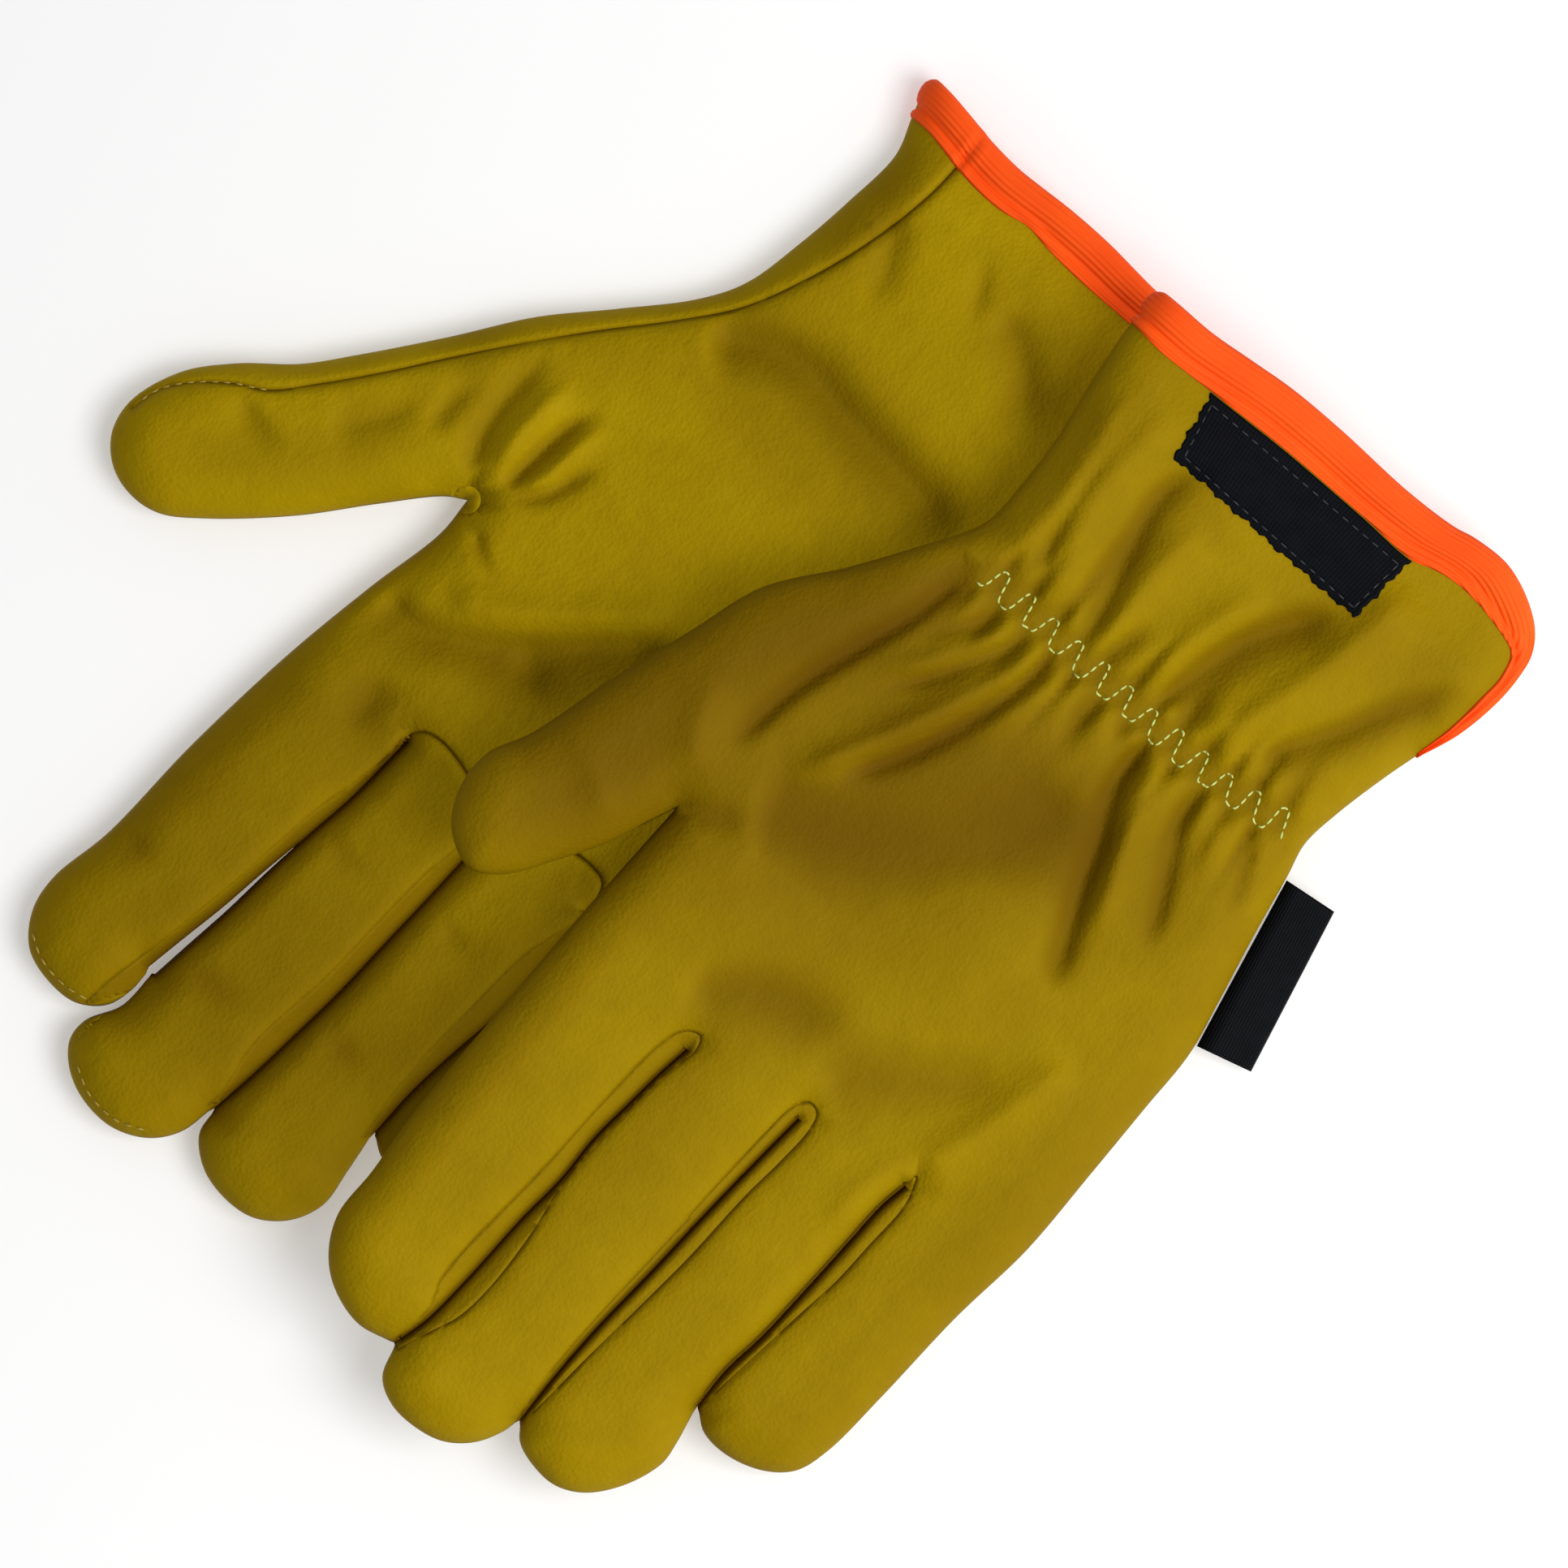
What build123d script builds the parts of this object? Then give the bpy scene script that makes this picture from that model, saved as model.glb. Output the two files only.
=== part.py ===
"""A pair of leather drivers' gloves, the left one laid across the right one.

Millimetres, +Z up. The cuffs face +Y, the fingers -Y and both thumbs -X. The origin
is on the surface the pair rests on, under the palm of the right glove.

Each glove is a hollow body of soft leather, sewn from panels along its seams. Both are
made by the same functions from their plan as seen from straight above. The right glove
lies palm up and level. The left glove lies palm down, its little-finger edge on the
surface and its thumb side across the right glove, so it slopes by TILT.
"""

import os
from dataclasses import dataclass
from math import cos, hypot, radians, sin, sqrt

from build123d import *

# Leather body
LEATHER = 1.2  # thickness of the leather
PALM_THICK = 15.0  # palm and cuff, lying flat
FINGER_THICK = 14.0
EDGE_FLAT = 2.0  # upright height between the round edges that the bevels stand for
KNUCKLE_CORNER = 11.0  # plan radius of the palm's corners under the fingers
SIDE_BEND = 24.0  # plan radius of the bends along palm, wrist and cuff

# Seams
SEAM_INSET = 4.5  # palm-side seam, in from the outline
FOURCHETTE_BACK = 4.0  # side strips of the fingers reach this far below mid-height
GUSSET = 26.0  # side of the gusset at the thumb crotch
FINGER_SEAM_RISE = 4.0  # seam across the finger roots, above the knuckle centres

# Cuff
MOUTH_Y = 113.0  # leather edge of the cuff
HEM = 7.5  # width of the folded binding
BINDING = 0.8  # thickness of the binding; the leather steps in by this under it
VENT_Y = 81.5  # the binding comes down the little-finger side to here
VENT_GAP = 2.0  # open slit between the two flaps of the cuff

# Wrist elastic, inside the back
ELASTIC_Y = 54.5
ELASTIC_WIDTH = 6.0
ELASTIC_THICK = 0.8
ELASTIC_INSET = 9.0  # in from both edges of the wrist

# Woven label on the back of the left glove
LABEL_LENGTH = 48.0
LABEL_WIDTH = 12.5
LABEL_THICK = 0.7
LABEL_CORNER = 1.0
LABEL_X = 34.3  # middle of the label across the glove
LABEL_GAP = 0.4  # between label and binding

# Folded tag in the little-finger seam of the left glove
TAG_LENGTH = 33.0
TAG_REACH = 11.5
TAG_THICK = 1.0
TAG_CORNER = 1.5
TAG_GAP = 0.35  # between the tag's root and the leather
TAG_FROM = (88.7, 14.5)  # the straight stretch of edge that holds it
TAG_TO = (80.2, 49.2)

# How the left glove leans on the right one
TILT = 15.0

BEYOND = 40.0  # cutting shapes run this far past the leather


@dataclass
class Glove:
    """Plan of a glove from straight above, with the side that faces up."""

    name: str
    palm_up: int  # 1 when the palm faces up, -1 when it faces down
    slope: float  # degrees by which the little-finger side is lower
    palm: list  # corners of palm, wrist and cuff, from the cuff's thumb side
    fingers: list  # index to little: (x, y, radius) at the knuckle and at the tip
    thumb: tuple  # (x, y, radius) at the root and at the tip
    crotch: tuple  # where the thumb's inner edge meets the palm
    wrist: tuple  # both edges of the wrist along its elastic

    def along(self, x):
        """A plan distance across the glove, as measured on its own slope."""
        return x / cos(radians(self.slope))

    def digits(self):
        """Fingers and thumb, as pairs of circles on the glove's own plane."""
        pairs = [*self.fingers, self.thumb]
        return [[(self.along(x), y, self.along(r)) for x, y, r in pair] for pair in pairs]


right = Glove(
    name="right",
    palm_up=1,
    slope=0.0,
    palm=[
        (-68.5, 150), (-62.5, 88), (-66.5, 62), (-77, -4), (-83, -47),
        (17, -35), (19.5, -10), (21.5, 14.5), (16.5, 49.2), (16, 57), (29, 103), (40, 150),
    ],
    fingers=[
        ((-70.5, -42, 12.0), (-76, -104.5, 12.6)),
        ((-46.7, -40, 11.3), (-51, -117, 12.5)),
        ((-23.5, -39, 11.2), (-24, -112.5, 12.0)),
        ((2.0, -37, 12.6), (2, -89, 11.2)),
    ],
    thumb=((-62.6, 42.2, 15.5), (-124, -28, 13.0)),
    crotch=(-76, 7),
    wrist=(-65.8, 16.2),
)

left = Glove(
    name="left",
    palm_up=-1,
    slope=TILT,
    palm=[
        (-13, 150), (-4.5, 61), (-12, -16), (-12.2, -46),
        (91, -36), (90.5, -10), TAG_FROM, TAG_TO, (79, 57), (88, 103), (96, 150),
    ],
    fingers=[
        ((2.0, -42, 13.7), (4.0, -111, 11.4)),
        ((29.4, -42, 12.2), (29.3, -119, 12.0)),
        ((54.8, -39, 12.0), (53.7, -110, 11.2)),
        ((79.2, -36, 11.6), (77.8, -83, 11.5)),
    ],
    thumb=((-8, 27, 19), (-33, -37.5, 11.5)),
    crotch=(-12.5, -13),
    wrist=(-5.0, 79.2),
)


# ---------------------------------------------------------------- plan outlines


def digit_outline(circles, grow):
    """A finger or thumb in plan: the hull of its root and tip circles."""
    with BuildSketch() as outline:
        for x, y, radius in circles:
            with Locations((x, y)):
                Circle(radius + grow)
        make_hull()
    return outline.sketch


def palm_outline(glove, grow):
    """Palm, wrist and cuff in plan; the cuff runs on past its mouth."""
    with BuildSketch() as outline:
        with BuildLine():
            Polyline(*[(glove.along(x), y) for x, y in glove.palm], close=True)
        make_face()
        knuckles = outline.vertices().sort_by(Axis.Y)[:2]
        fillet(knuckles, KNUCKLE_CORNER)
        bends = outline.vertices().sort_by(Axis.Y)[4:-2]
        fillet(bends, SIDE_BEND)
        if grow:
            offset(amount=grow)
    return outline.sketch


def bevel(half):
    """Leg of the 45 degree bevel that just clears a round edge."""
    return (half - EDGE_FLAT / 2) * (2 - sqrt(2))


def pillow(outline, thick, grow):
    """An outline given its thickness, with bevelled edges all along."""
    half = thick / 2 + grow
    with BuildPart() as body:
        with BuildSketch(Plane.XY.offset(-half)):
            add(outline)
        extrude(amount=2 * half)
        rims = body.edges().group_by(Axis.Z)
        chamfer(rims[0] + rims[-1], bevel(half))
    return body.part


def slab(outline, low, high):
    """An outline extruded between two heights, as a cutting shape."""
    with BuildPart() as block:
        with BuildSketch(Plane.XY.offset(low)):
            add(outline)
        extrude(amount=high - low)
    return block.part


def polygon(points):
    """A plane shape with straight sides."""
    with BuildSketch() as shape:
        with BuildLine():
            Polyline(*points, close=True)
        make_face()
    return shape.sketch


def band(y_low, y_high):
    """Everything between two distances along the glove."""
    return polygon([(-300, y_low), (300, y_low), (300, y_high), (-300, y_high)])


def little_side(glove, y):
    """How far out the cuff's little-finger side lies at a distance along the glove."""
    (x0, y0), (x1, y1) = glove.palm[-3:-1]
    return glove.along(x0 + (x1 - x0) * (y - y0) / (y1 - y0))


def hem_outline(glove, grow):
    """What the binding covers: all round the mouth, and narrowing down beside the vent."""
    mouth, vent = MOUTH_Y - HEM + grow, VENT_Y + grow
    return polygon([
        (-300, mouth), (little_side(glove, mouth) - HEM + grow, mouth),
        (little_side(glove, vent) + grow, vent), (300, vent), (300, 300), (-300, 300),
    ])


def vent_slit(glove, wider):
    """The slit of the cuff's vent, at mid-height on the little-finger side."""
    start = VENT_Y + HEM / 2 - wider
    inner = little_side(glove, start) - 2 * HEM
    height = VENT_GAP / 2 + wider
    return slab(polygon([(inner, start), (300, start), (300, 300), (inner, 300)]), -height, height)


# ---------------------------------------------------------------- leather body


def envelope(glove, grow):
    """The closed form of the glove, its faces moved out by grow."""
    palm = pillow(palm_outline(glove, grow), PALM_THICK, grow)
    cuff = pillow(palm_outline(glove, grow - BINDING), PALM_THICK, grow - BINDING)
    digits = [pillow(digit_outline(pair, grow), FINGER_THICK, grow) for pair in glove.digits()]
    under_hem = slab(hem_outline(glove, grow), -BEYOND, BEYOND)
    with BuildPart() as cuff_end:
        add(cuff)
        add(under_hem, mode=Mode.INTERSECT)
    with BuildPart() as form:
        add(palm)
        add(under_hem, mode=Mode.SUBTRACT)
        add(cuff_end.part)
        add(digits)
    return form.part


def leather_shell(glove):
    """The whole leather body before it is parted at its seams, open at the cuff."""
    outside = envelope(glove, 0)
    inside = envelope(glove, -LEATHER)
    past_mouth = slab(band(MOUTH_Y, MOUTH_Y + 3 * BEYOND), -BEYOND, BEYOND)
    with BuildPart() as shell:
        add(outside)
        add([inside, past_mouth, vent_slit(glove, BINDING)], mode=Mode.SUBTRACT)
    return shell.part


# ---------------------------------------------------------------- seam regions


def beyond_tip(finger):
    """A point past the fingertip on the finger's own axis."""
    (x0, y0, _), (x1, y1, _) = finger
    reach = hypot(x1 - x0, y1 - y0)
    return (x1 + (x1 - x0) / reach * BEYOND, y1 + (y1 - y0) / reach * BEYOND)


def between(a, b):
    """The point half way between two points."""
    return ((a[0] + b[0]) / 2, (a[1] + b[1]) / 2)


def seam_slab(glove, outline, back):
    """A cutting shape on the palm side, from back below mid-height."""
    if glove.palm_up > 0:
        return slab(outline, -back, BEYOND)
    return slab(outline, -BEYOND, back)


def front_region(glove):
    """Palm side of the glove within the side seam, fingers and thumb included."""
    with BuildSketch() as outline:
        add(palm_outline(glove, -SEAM_INSET))
        for pair in glove.digits():
            add(digit_outline(pair, -SEAM_INSET))
    return seam_slab(glove, outline.sketch, 0)


def finger_front_region(glove, number):
    """Front of one finger, up to the seam across its root."""
    before, finger, after = glove.digits()[number - 1 : number + 2]
    low_root, high_root = between(before[0], finger[0]), between(finger[0], after[0])
    low_tip = between(beyond_tip(before), beyond_tip(finger))
    high_tip = between(beyond_tip(finger), beyond_tip(after))
    low_end = (low_root[0], low_root[1] + FINGER_SEAM_RISE)
    high_end = (high_root[0], high_root[1] + FINGER_SEAM_RISE)
    return seam_slab(glove, polygon([low_end, low_tip, high_tip, high_end]), 0)


def slit_region(glove, number):
    """The slit between a finger and the next one, from axis to axis."""
    finger, after = glove.digits()[number : number + 2]
    rise = SEAM_INSET + LEATHER
    low_root = (finger[0][0], finger[0][1] + rise)
    high_root = (after[0][0], after[0][1] + rise)
    corners = [low_root, beyond_tip(finger), beyond_tip(after), high_root]
    return seam_slab(glove, polygon(corners), FOURCHETTE_BACK)


def gusset_region(glove):
    """The crotch between thumb and palm."""
    x, y = glove.crotch
    with BuildSketch() as square:
        with Locations((glove.along(x), y)):
            Rectangle(GUSSET, GUSSET)
    return seam_slab(glove, square.sketch, FOURCHETTE_BACK)


# ---------------------------------------------------------------- trim


def binding_ring(glove, shell):
    """Binding folded over the leather edge, flush with the leather outside."""
    lining = -(LEATHER + 2 * BINDING)
    outside = pillow(palm_outline(glove, 0), PALM_THICK, 0)
    inside = pillow(palm_outline(glove, lining), PALM_THICK, lining)
    hem = slab(hem_outline(glove, 0), -BEYOND, BEYOND)
    past_binding = slab(band(MOUTH_Y + BINDING, MOUTH_Y + 3 * BEYOND), -BEYOND, BEYOND)
    with BuildPart() as ring:
        add(outside)
        add(hem, mode=Mode.INTERSECT)
        add([inside, past_binding, shell, vent_slit(glove, 0)], mode=Mode.SUBTRACT)
    return ring.part


def tag_plate():
    """The folded tag beside its stretch of edge, its hinge side fully rounded."""
    (x0, y0), (x1, y1) = [(left.along(x), y) for x, y in (TAG_FROM, TAG_TO)]
    outward = Vector(y1 - y0, x0 - x1).normalized()
    root = Vector(*between((x0, y0), (x1, y1))) + outward * TAG_GAP
    plane = Plane(origin=root - Vector(0, 0, TAG_THICK / 2), x_dir=outward, z_dir=(0, 0, 1))
    with BuildPart() as plate:
        with BuildSketch(plane):
            Rectangle(TAG_REACH, TAG_LENGTH, align=(Align.MIN, Align.CENTER))
        extrude(amount=TAG_THICK)
        across = Axis(root, outward)
        corners = plate.edges().filter_by(Axis.Z).sort_by(across)[-2:]
        fillet(corners, TAG_CORNER)
        root_edges = plate.edges().sort_by(across)[:4].filter_by(Axis.Z, reverse=True)
        fillet(root_edges, TAG_THICK * 0.49)
    return plate.part


# ---------------------------------------------------------------- seats


def level_seat():
    """Mid-plane of the right glove, flat on the surface."""
    return Plane.XY.offset(PALM_THICK / 2)


def sloping_seat():
    """Mid-plane of the left glove, its little-finger edge on the surface."""
    slope = radians(TILT)
    edge_x = left.along(max(x for x, y in left.palm if y < MOUTH_Y)) - bevel(PALM_THICK / 2)
    height = edge_x * sin(slope) + PALM_THICK / 2 * cos(slope)
    return Plane(
        origin=(0, 0, height),
        x_dir=(cos(slope), 0, -sin(slope)),
        z_dir=(sin(slope), 0, cos(slope)),
    )


seats = {"right": level_seat(), "left": sloping_seat()}


def finish(glove, name, piece):
    """Label a piece and write it."""
    piece.part.label = f"{glove.name}_{name}"
    export_step(piece.part, f"parts/{piece.part.label}.step")
    print(piece.part.label, len(piece.part.solids()), round(piece.part.volume))


# ---------------------------------------------------------------- pieces

os.makedirs("parts", exist_ok=True)

for glove in (right, left):
    seat = seats[glove.name]
    shell = leather_shell(glove)
    front = front_region(glove)
    middle_front = finger_front_region(glove, 1)
    ring_front = finger_front_region(glove, 2)
    slits = [slit_region(glove, number) for number in range(3)]
    gusset = gusset_region(glove)

    # The leather within the side seam, and the leather outside it
    with BuildPart() as palm_side:
        add(shell)
        add(front, mode=Mode.INTERSECT)
    with BuildPart() as back_side:
        add(shell)
        add(front, mode=Mode.SUBTRACT)

    # Palm panel: palm, cuff front, index and little finger fronts and thumb front
    with BuildPart(seat) as palm_panel:
        add(palm_side.part)
        add([middle_front, ring_front], mode=Mode.SUBTRACT)
    finish(glove, "palm_panel", palm_panel)

    # Fronts of the middle and ring fingers, sewn on across their roots
    for name, region in (("middle", middle_front), ("ring", ring_front)):
        with BuildPart(seat) as finger_front:
            add(palm_side.part)
            add(region, mode=Mode.INTERSECT)
        finish(glove, f"{name}_finger_front", finger_front)

    # Side strips, each running down one finger, through the crotch and up the next
    for name, region in zip(("index_middle", "middle_ring", "ring_little"), slits):
        with BuildPart(seat) as fourchette:
            add(back_side.part)
            add(region, mode=Mode.INTERSECT)
        finish(glove, f"{name}_fourchette", fourchette)

    # Small gusset in the thumb crotch
    with BuildPart(seat) as thumb_gusset:
        add(back_side.part)
        add(gusset, mode=Mode.INTERSECT)
    finish(glove, "thumb_gusset", thumb_gusset)

    # Back panel: the back of the hand and cuff, wrapped round to the side seam
    with BuildPart(seat) as back_panel:
        add(back_side.part)
        add([gusset, *slits], mode=Mode.SUBTRACT)
    finish(glove, "back_panel", back_panel)

    # Folded fabric binding round the mouth of the cuff
    with BuildPart(seat) as cuff_binding:
        add(binding_ring(glove, shell))
    finish(glove, "cuff_binding", cuff_binding)

    # Elastic strip sewn to the inside of the back at the wrist
    inner_face = PALM_THICK / 2 - LEATHER
    strip_from = -inner_face if glove.palm_up > 0 else inner_face - ELASTIC_THICK
    strip_ends = [glove.along(x) for x in glove.wrist]
    with BuildPart(seat) as wrist_elastic:
        with BuildSketch(seat.offset(strip_from)):
            with Locations((sum(strip_ends) / 2, ELASTIC_Y)):
                Rectangle(strip_ends[1] - strip_ends[0] - 2 * ELASTIC_INSET, ELASTIC_WIDTH)
        extrude(amount=ELASTIC_THICK)
    finish(glove, "wrist_elastic", wrist_elastic)

seat = seats["left"]

# Woven label sewn on the back below the binding
label_y = MOUTH_Y - HEM - LABEL_GAP - LABEL_WIDTH / 2
with BuildPart(seat) as back_label:
    with BuildSketch(seat.offset(PALM_THICK / 2)):
        with Locations((left.along(LABEL_X), label_y)):
            RectangleRounded(LABEL_LENGTH, LABEL_WIDTH, LABEL_CORNER)
    extrude(amount=LABEL_THICK)
finish(left, "back_label", back_label)

# Folded tag that swings on the little-finger seam
with BuildPart(seat) as side_tag:
    add(tag_plate())
finish(left, "side_tag", side_tag)
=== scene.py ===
"""Looks of the pair of leather work gloves.

Plan coordinates and all lengths are millimetres in the part's own frame (cuffs to +Y,
fingers to -Y, thumbs to -X, Z up); MM turns them into metres when a mesh is made.

Each glove is two leather sheets, an upper and a lower one, that meet along its outline.
A sheet's height above the glove's middle surface is worked out from the distance to the
outline, then seams are pressed into it and folds are raised on it. Last it is parted into
its sewn panels, each of which stands for one node of the part.
"""

import bmesh
import bpy
import numpy as np
from math import cos, radians, sin, sqrt, tan
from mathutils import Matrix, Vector
from mathutils.geometry import delaunay_2d_cdt


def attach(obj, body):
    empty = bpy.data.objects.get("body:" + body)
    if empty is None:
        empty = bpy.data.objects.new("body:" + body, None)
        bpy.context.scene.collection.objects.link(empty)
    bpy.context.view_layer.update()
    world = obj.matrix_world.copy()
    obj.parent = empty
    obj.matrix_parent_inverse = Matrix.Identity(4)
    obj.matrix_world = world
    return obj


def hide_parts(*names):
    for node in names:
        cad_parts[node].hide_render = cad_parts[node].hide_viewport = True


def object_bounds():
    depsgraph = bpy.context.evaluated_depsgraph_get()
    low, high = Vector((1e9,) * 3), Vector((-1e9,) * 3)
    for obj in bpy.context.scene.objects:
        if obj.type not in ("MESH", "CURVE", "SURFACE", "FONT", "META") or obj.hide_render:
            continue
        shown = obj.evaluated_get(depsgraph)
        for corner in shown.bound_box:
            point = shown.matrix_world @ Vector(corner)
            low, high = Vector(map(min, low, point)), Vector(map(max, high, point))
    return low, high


MM = 0.001

# Camera: straight above, turned so that the cuffs are at the upper right
TURN = radians(42)
PICTURE_WIDTH = 289.8  # what the picture's width covers on the table
CAMERA_HEIGHT = 3000.0
CAMERA_SHIFT = (18.86, 8.81)  # of the picture's middle from the middle of the pair
TABLE = 900  # half the table's width

# Light
ROOM_LIGHT = 0.37
KEY_POWER, KEY_SIZE = 12.5, 0.8
KEY_FROM = (0.6, 0.2, 1.5)  # metres from the picture's middle
RAKING_POWER, RAKING_SIZE = 17.5, 0.4  # a low light that shows the folds
RAKING_FROM = (1.25, 0.41, 0.72)

# Leather
LEATHER = 1.2
WELD = 0.012  # vertices of two sheets this close are joined
MESH_STEP = 1.15  # spacing of the vertices on a sheet
MESH_ROW = 0.866 * MESH_STEP  # between the rows of its even triangles
RINGS = (0.35, 0.9, 1.7, 2.8, 4.5, 6.0)  # rows of vertices along every edge
ROW_SLACK = 0.03  # a row keeps only points that are this nearly at its own distance
ROW_SPACE, ROW_BREAK = 0.45, 2.5  # least and greatest spacing of its points
LINE_INSET = 0.3  # by which seams stop short of the outline
GRID_CLEAR, LINE_CLEAR = 0.6, 0.55  # from the rows and the seams to the grid, in mesh steps
SEAM_INSET = 4.5  # the palm-side seam, in from the outline

CELL = 12.0  # distances to a path are worked out cell by cell

# Height of a sheet above the middle surface
PALM_RISE = 7.3
EDGE_ROUND = 10.0  # width over which a sheet rises from the outline
SLIT_ROUND = 5.5  # the same beside the slit between two fingers
# How far, and over what width, a finger falls towards the seam of its side strip
FINGER_SHOULDER = {"left": (0.24, 2.6), "right": (0.1, 1.6)}
SLIT_WIDTH = 0.05
SLIT_LAP = 0.09  # by which each side of a slit presses towards the other
GAP_WIDTH = 1.9  # of a slit that opens towards the fingertips
# Towards its binding the cuff is drawn in: from where, over what length and by what share
HEM_FROM, HEM_FADE, HEM_DIP = 98.0, 8.0, 0.2
VENT_OPEN = 0.36  # height of the open edges of the vent, as a share of the full height
FOLD_GAIN = 1.9  # of the fold heights listed below
FOLD_SHARP = 1.6  # 2 is a bell, less is sharper
FOLD_LEAD, FOLD_TAIL = 6.0, 10.0  # lengths over which a fold begins and ends
FOLD_MARGIN = 5.0  # folds fade out over this distance from the outline
STRIP_BESIDE = 12.0  # how far a strip's seam shapes the finger beside it
STRIP_SEAM, BACK_SEAM, ROOT_SEAM = 0.35, 0.3, 0.7  # depths of the seams
SEAM_WIDTH = 0.6
SEAM_FIRM = 0.9  # seams fade out over this distance from the outline
SEAM_ROW = 0.75  # rows of vertices beside a seam

# Painted shade: 0 is the plain leather, 1 its darkest
PAINTED_SHADE_MIX = 0.8  # how much of the dark shade colour is mixed in at 1
FOLD_SHADE, FOLD_DEEP = 0.62, 1.6  # greatest painted shade in a fold, and how deep a fold nears it
STRIP_SHADE = {"left": 0.2, "right": 0.45}  # painted shade on the side strips of the fingers, whose walls slope away from the light
# Greatest shade painted into the grooves of the seams
SEAM_SHADE = 0.6
# Width of the shadow painted into the slits between the fingers
SLIT_SHADOW_WIDTH = 0.85

# Wrist
WAIST_DEPTH, WAIST_WIDTH = 1.5, 7.5  # how the elastic draws the back in
WAIST_ENDS = 8.0  # length over which that fades at the elastic's ends
PUCKER_HEIGHT = 1.55
PUCKER_REACH = (9.0, 11.0)  # towards the cuff and towards the fingers
PUCKER_PHASE = (0.95, 0.52)  # where on a tooth a pucker starts, on the same two sides
TUCK_HEIGHT, TUCK_WIDTH = 0.35, 2.2  # of the leather between the teeth

# Middle surfaces, as in the part: the left one slopes down from the thumb side
TILT = radians(15)
LEFT_HEIGHT = 30.64  # at x = 0
RIGHT_HEIGHT = 7.5

# Binding tape
TAPE = 0.8
TAPE_STEP = 0.9  # between its sections
TAPE_AIR = 0.05  # between tape and leather
TAPE_END = 0.35  # thickness at the ends, as a share

# Thread
THREAD, TIP_THREAD, LABEL_THREAD = 0.25, 0.2, 0.16  # radii
ZIGZAG_STITCH = 1.45, 0.42, 0.14  # length of one stitch, space to the next, and arch
TIP_STITCH = 1.3, 0.9, 0.12
LABEL_STITCH = 1.5, 0.8, 0.12
STITCH_LIFT = 0.05  # off the leather
STITCH_POINTS = 6


# ------------------------------------------------------------------ plane curves


def unit(x):
    """Held between 0 and 1."""
    return np.clip(x, 0, 1)


def ease(t):
    """From 0 to 1 with a soft start and a soft end."""
    t = unit(t)
    return t * t * (3 - 2 * t)


def bell(x):
    """1 at 0, falling away on both sides."""
    return np.exp(-(x**2))


def read_at(at, way, values):
    """Rows of values known along a way, read at other places along it."""
    return np.stack([np.interp(at, way, values[:, k]) for k in range(values.shape[1])], 1)


def smooth(points, step=0.8):
    """A rounded curve through the points, as evenly spaced points."""
    p = np.array(points, float)
    p = np.vstack([2 * p[0] - p[1], p, 2 * p[-1] - p[-2]])
    out = []
    for a, b, c, d in zip(p[:-3], p[1:-2], p[2:-1], p[3:]):
        ta = 0.0
        tb = ta + sqrt(np.linalg.norm(b - a))
        tc = tb + sqrt(np.linalg.norm(c - b))
        td = tc + sqrt(np.linalg.norm(d - c))
        t = np.linspace(tb, tc, 24, endpoint=False)[:, None]
        ab = (tb - t) / (tb - ta) * a + (t - ta) / (tb - ta) * b
        bc = (tc - t) / (tc - tb) * b + (t - tb) / (tc - tb) * c
        cd = (td - t) / (td - tc) * c + (t - tc) / (td - tc) * d
        abc = (tc - t) / (tc - ta) * ab + (t - ta) / (tc - ta) * bc
        bcd = (td - t) / (td - tb) * bc + (t - tb) / (td - tb) * cd
        out.append((tc - t) / (tc - tb) * abc + (t - tb) / (tc - tb) * bcd)
    out = np.vstack(out + [p[-2:-1]])
    return resample(out, step)


def travelled(path):
    """Distance travelled along a path at each of its points."""
    return np.concatenate([[0], np.cumsum(np.linalg.norm(np.diff(path, axis=0), axis=1))])


def resample(path, step):
    """The same path as evenly spaced points."""
    way = travelled(path)
    count = max(2, int(round(way[-1] / step)) + 1)
    at = np.linspace(0, way[-1], count)
    return read_at(at, way, path)


def nearest(points, path):
    """For each point: distance to a path, its side (+ on the left) and how far along it."""
    start, step = path[:-1, :2], np.diff(path[:, :2], axis=0)
    span = (step**2).sum(1) + 1e-12
    middle, half = start + step / 2, np.sqrt(span) / 2
    way = travelled(path[:, :2])
    gap, side, at = (np.empty(len(points)) for _ in range(3))
    cells = np.floor(points[:, :2] / CELL).astype(int)
    order = np.lexsort((cells[:, 1], cells[:, 0]))
    breaks = np.flatnonzero(np.any(np.diff(cells[order], axis=0), axis=1)) + 1
    for part in np.split(order, breaks):
        away = np.linalg.norm(middle - (cells[part[0]] + 0.5) * CELL, axis=1)
        near = np.flatnonzero(away - half <= (away + half).min() + CELL * sqrt(2))
        to = points[part, None, :2] - start[near]
        t = unit((to * step[near]).sum(2) / span[near])
        off = to - t[..., None] * step[near]
        best = (off**2).sum(2).argmin(1)
        row, k = np.arange(len(part)), near[best]
        gap[part] = np.sqrt((off[row, best] ** 2).sum(1))
        side[part] = np.sign(step[k, 0] * off[row, best, 1] - step[k, 1] * off[row, best, 0])
        at[part] = way[k] + t[row, best] * (way[k + 1] - way[k])
    return gap, side, at


def inside(points, corners):
    """Which points lie inside a polygon."""
    corners = np.asarray(corners, float)
    x, y = points[:, 0], points[:, 1]
    found = np.zeros(len(points), bool)
    for (x0, y0), (x1, y1) in zip(corners, np.roll(corners, -1, axis=0)):
        crosses = (y0 > y) != (y1 > y)
        found ^= crosses & (x < (x1 - x0) * (y - y0) / (y1 - y0 + 1e-12) + x0)
    return found


def shifted(path, by):
    """A path moved sideways, to its left if by is positive."""
    along = np.gradient(path, axis=0)
    left = np.stack([-along[:, 1], along[:, 0]], 1)
    return path + left / np.linalg.norm(left, axis=1)[:, None] * by


# ------------------------------------------------------------------ height of a sheet


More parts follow.
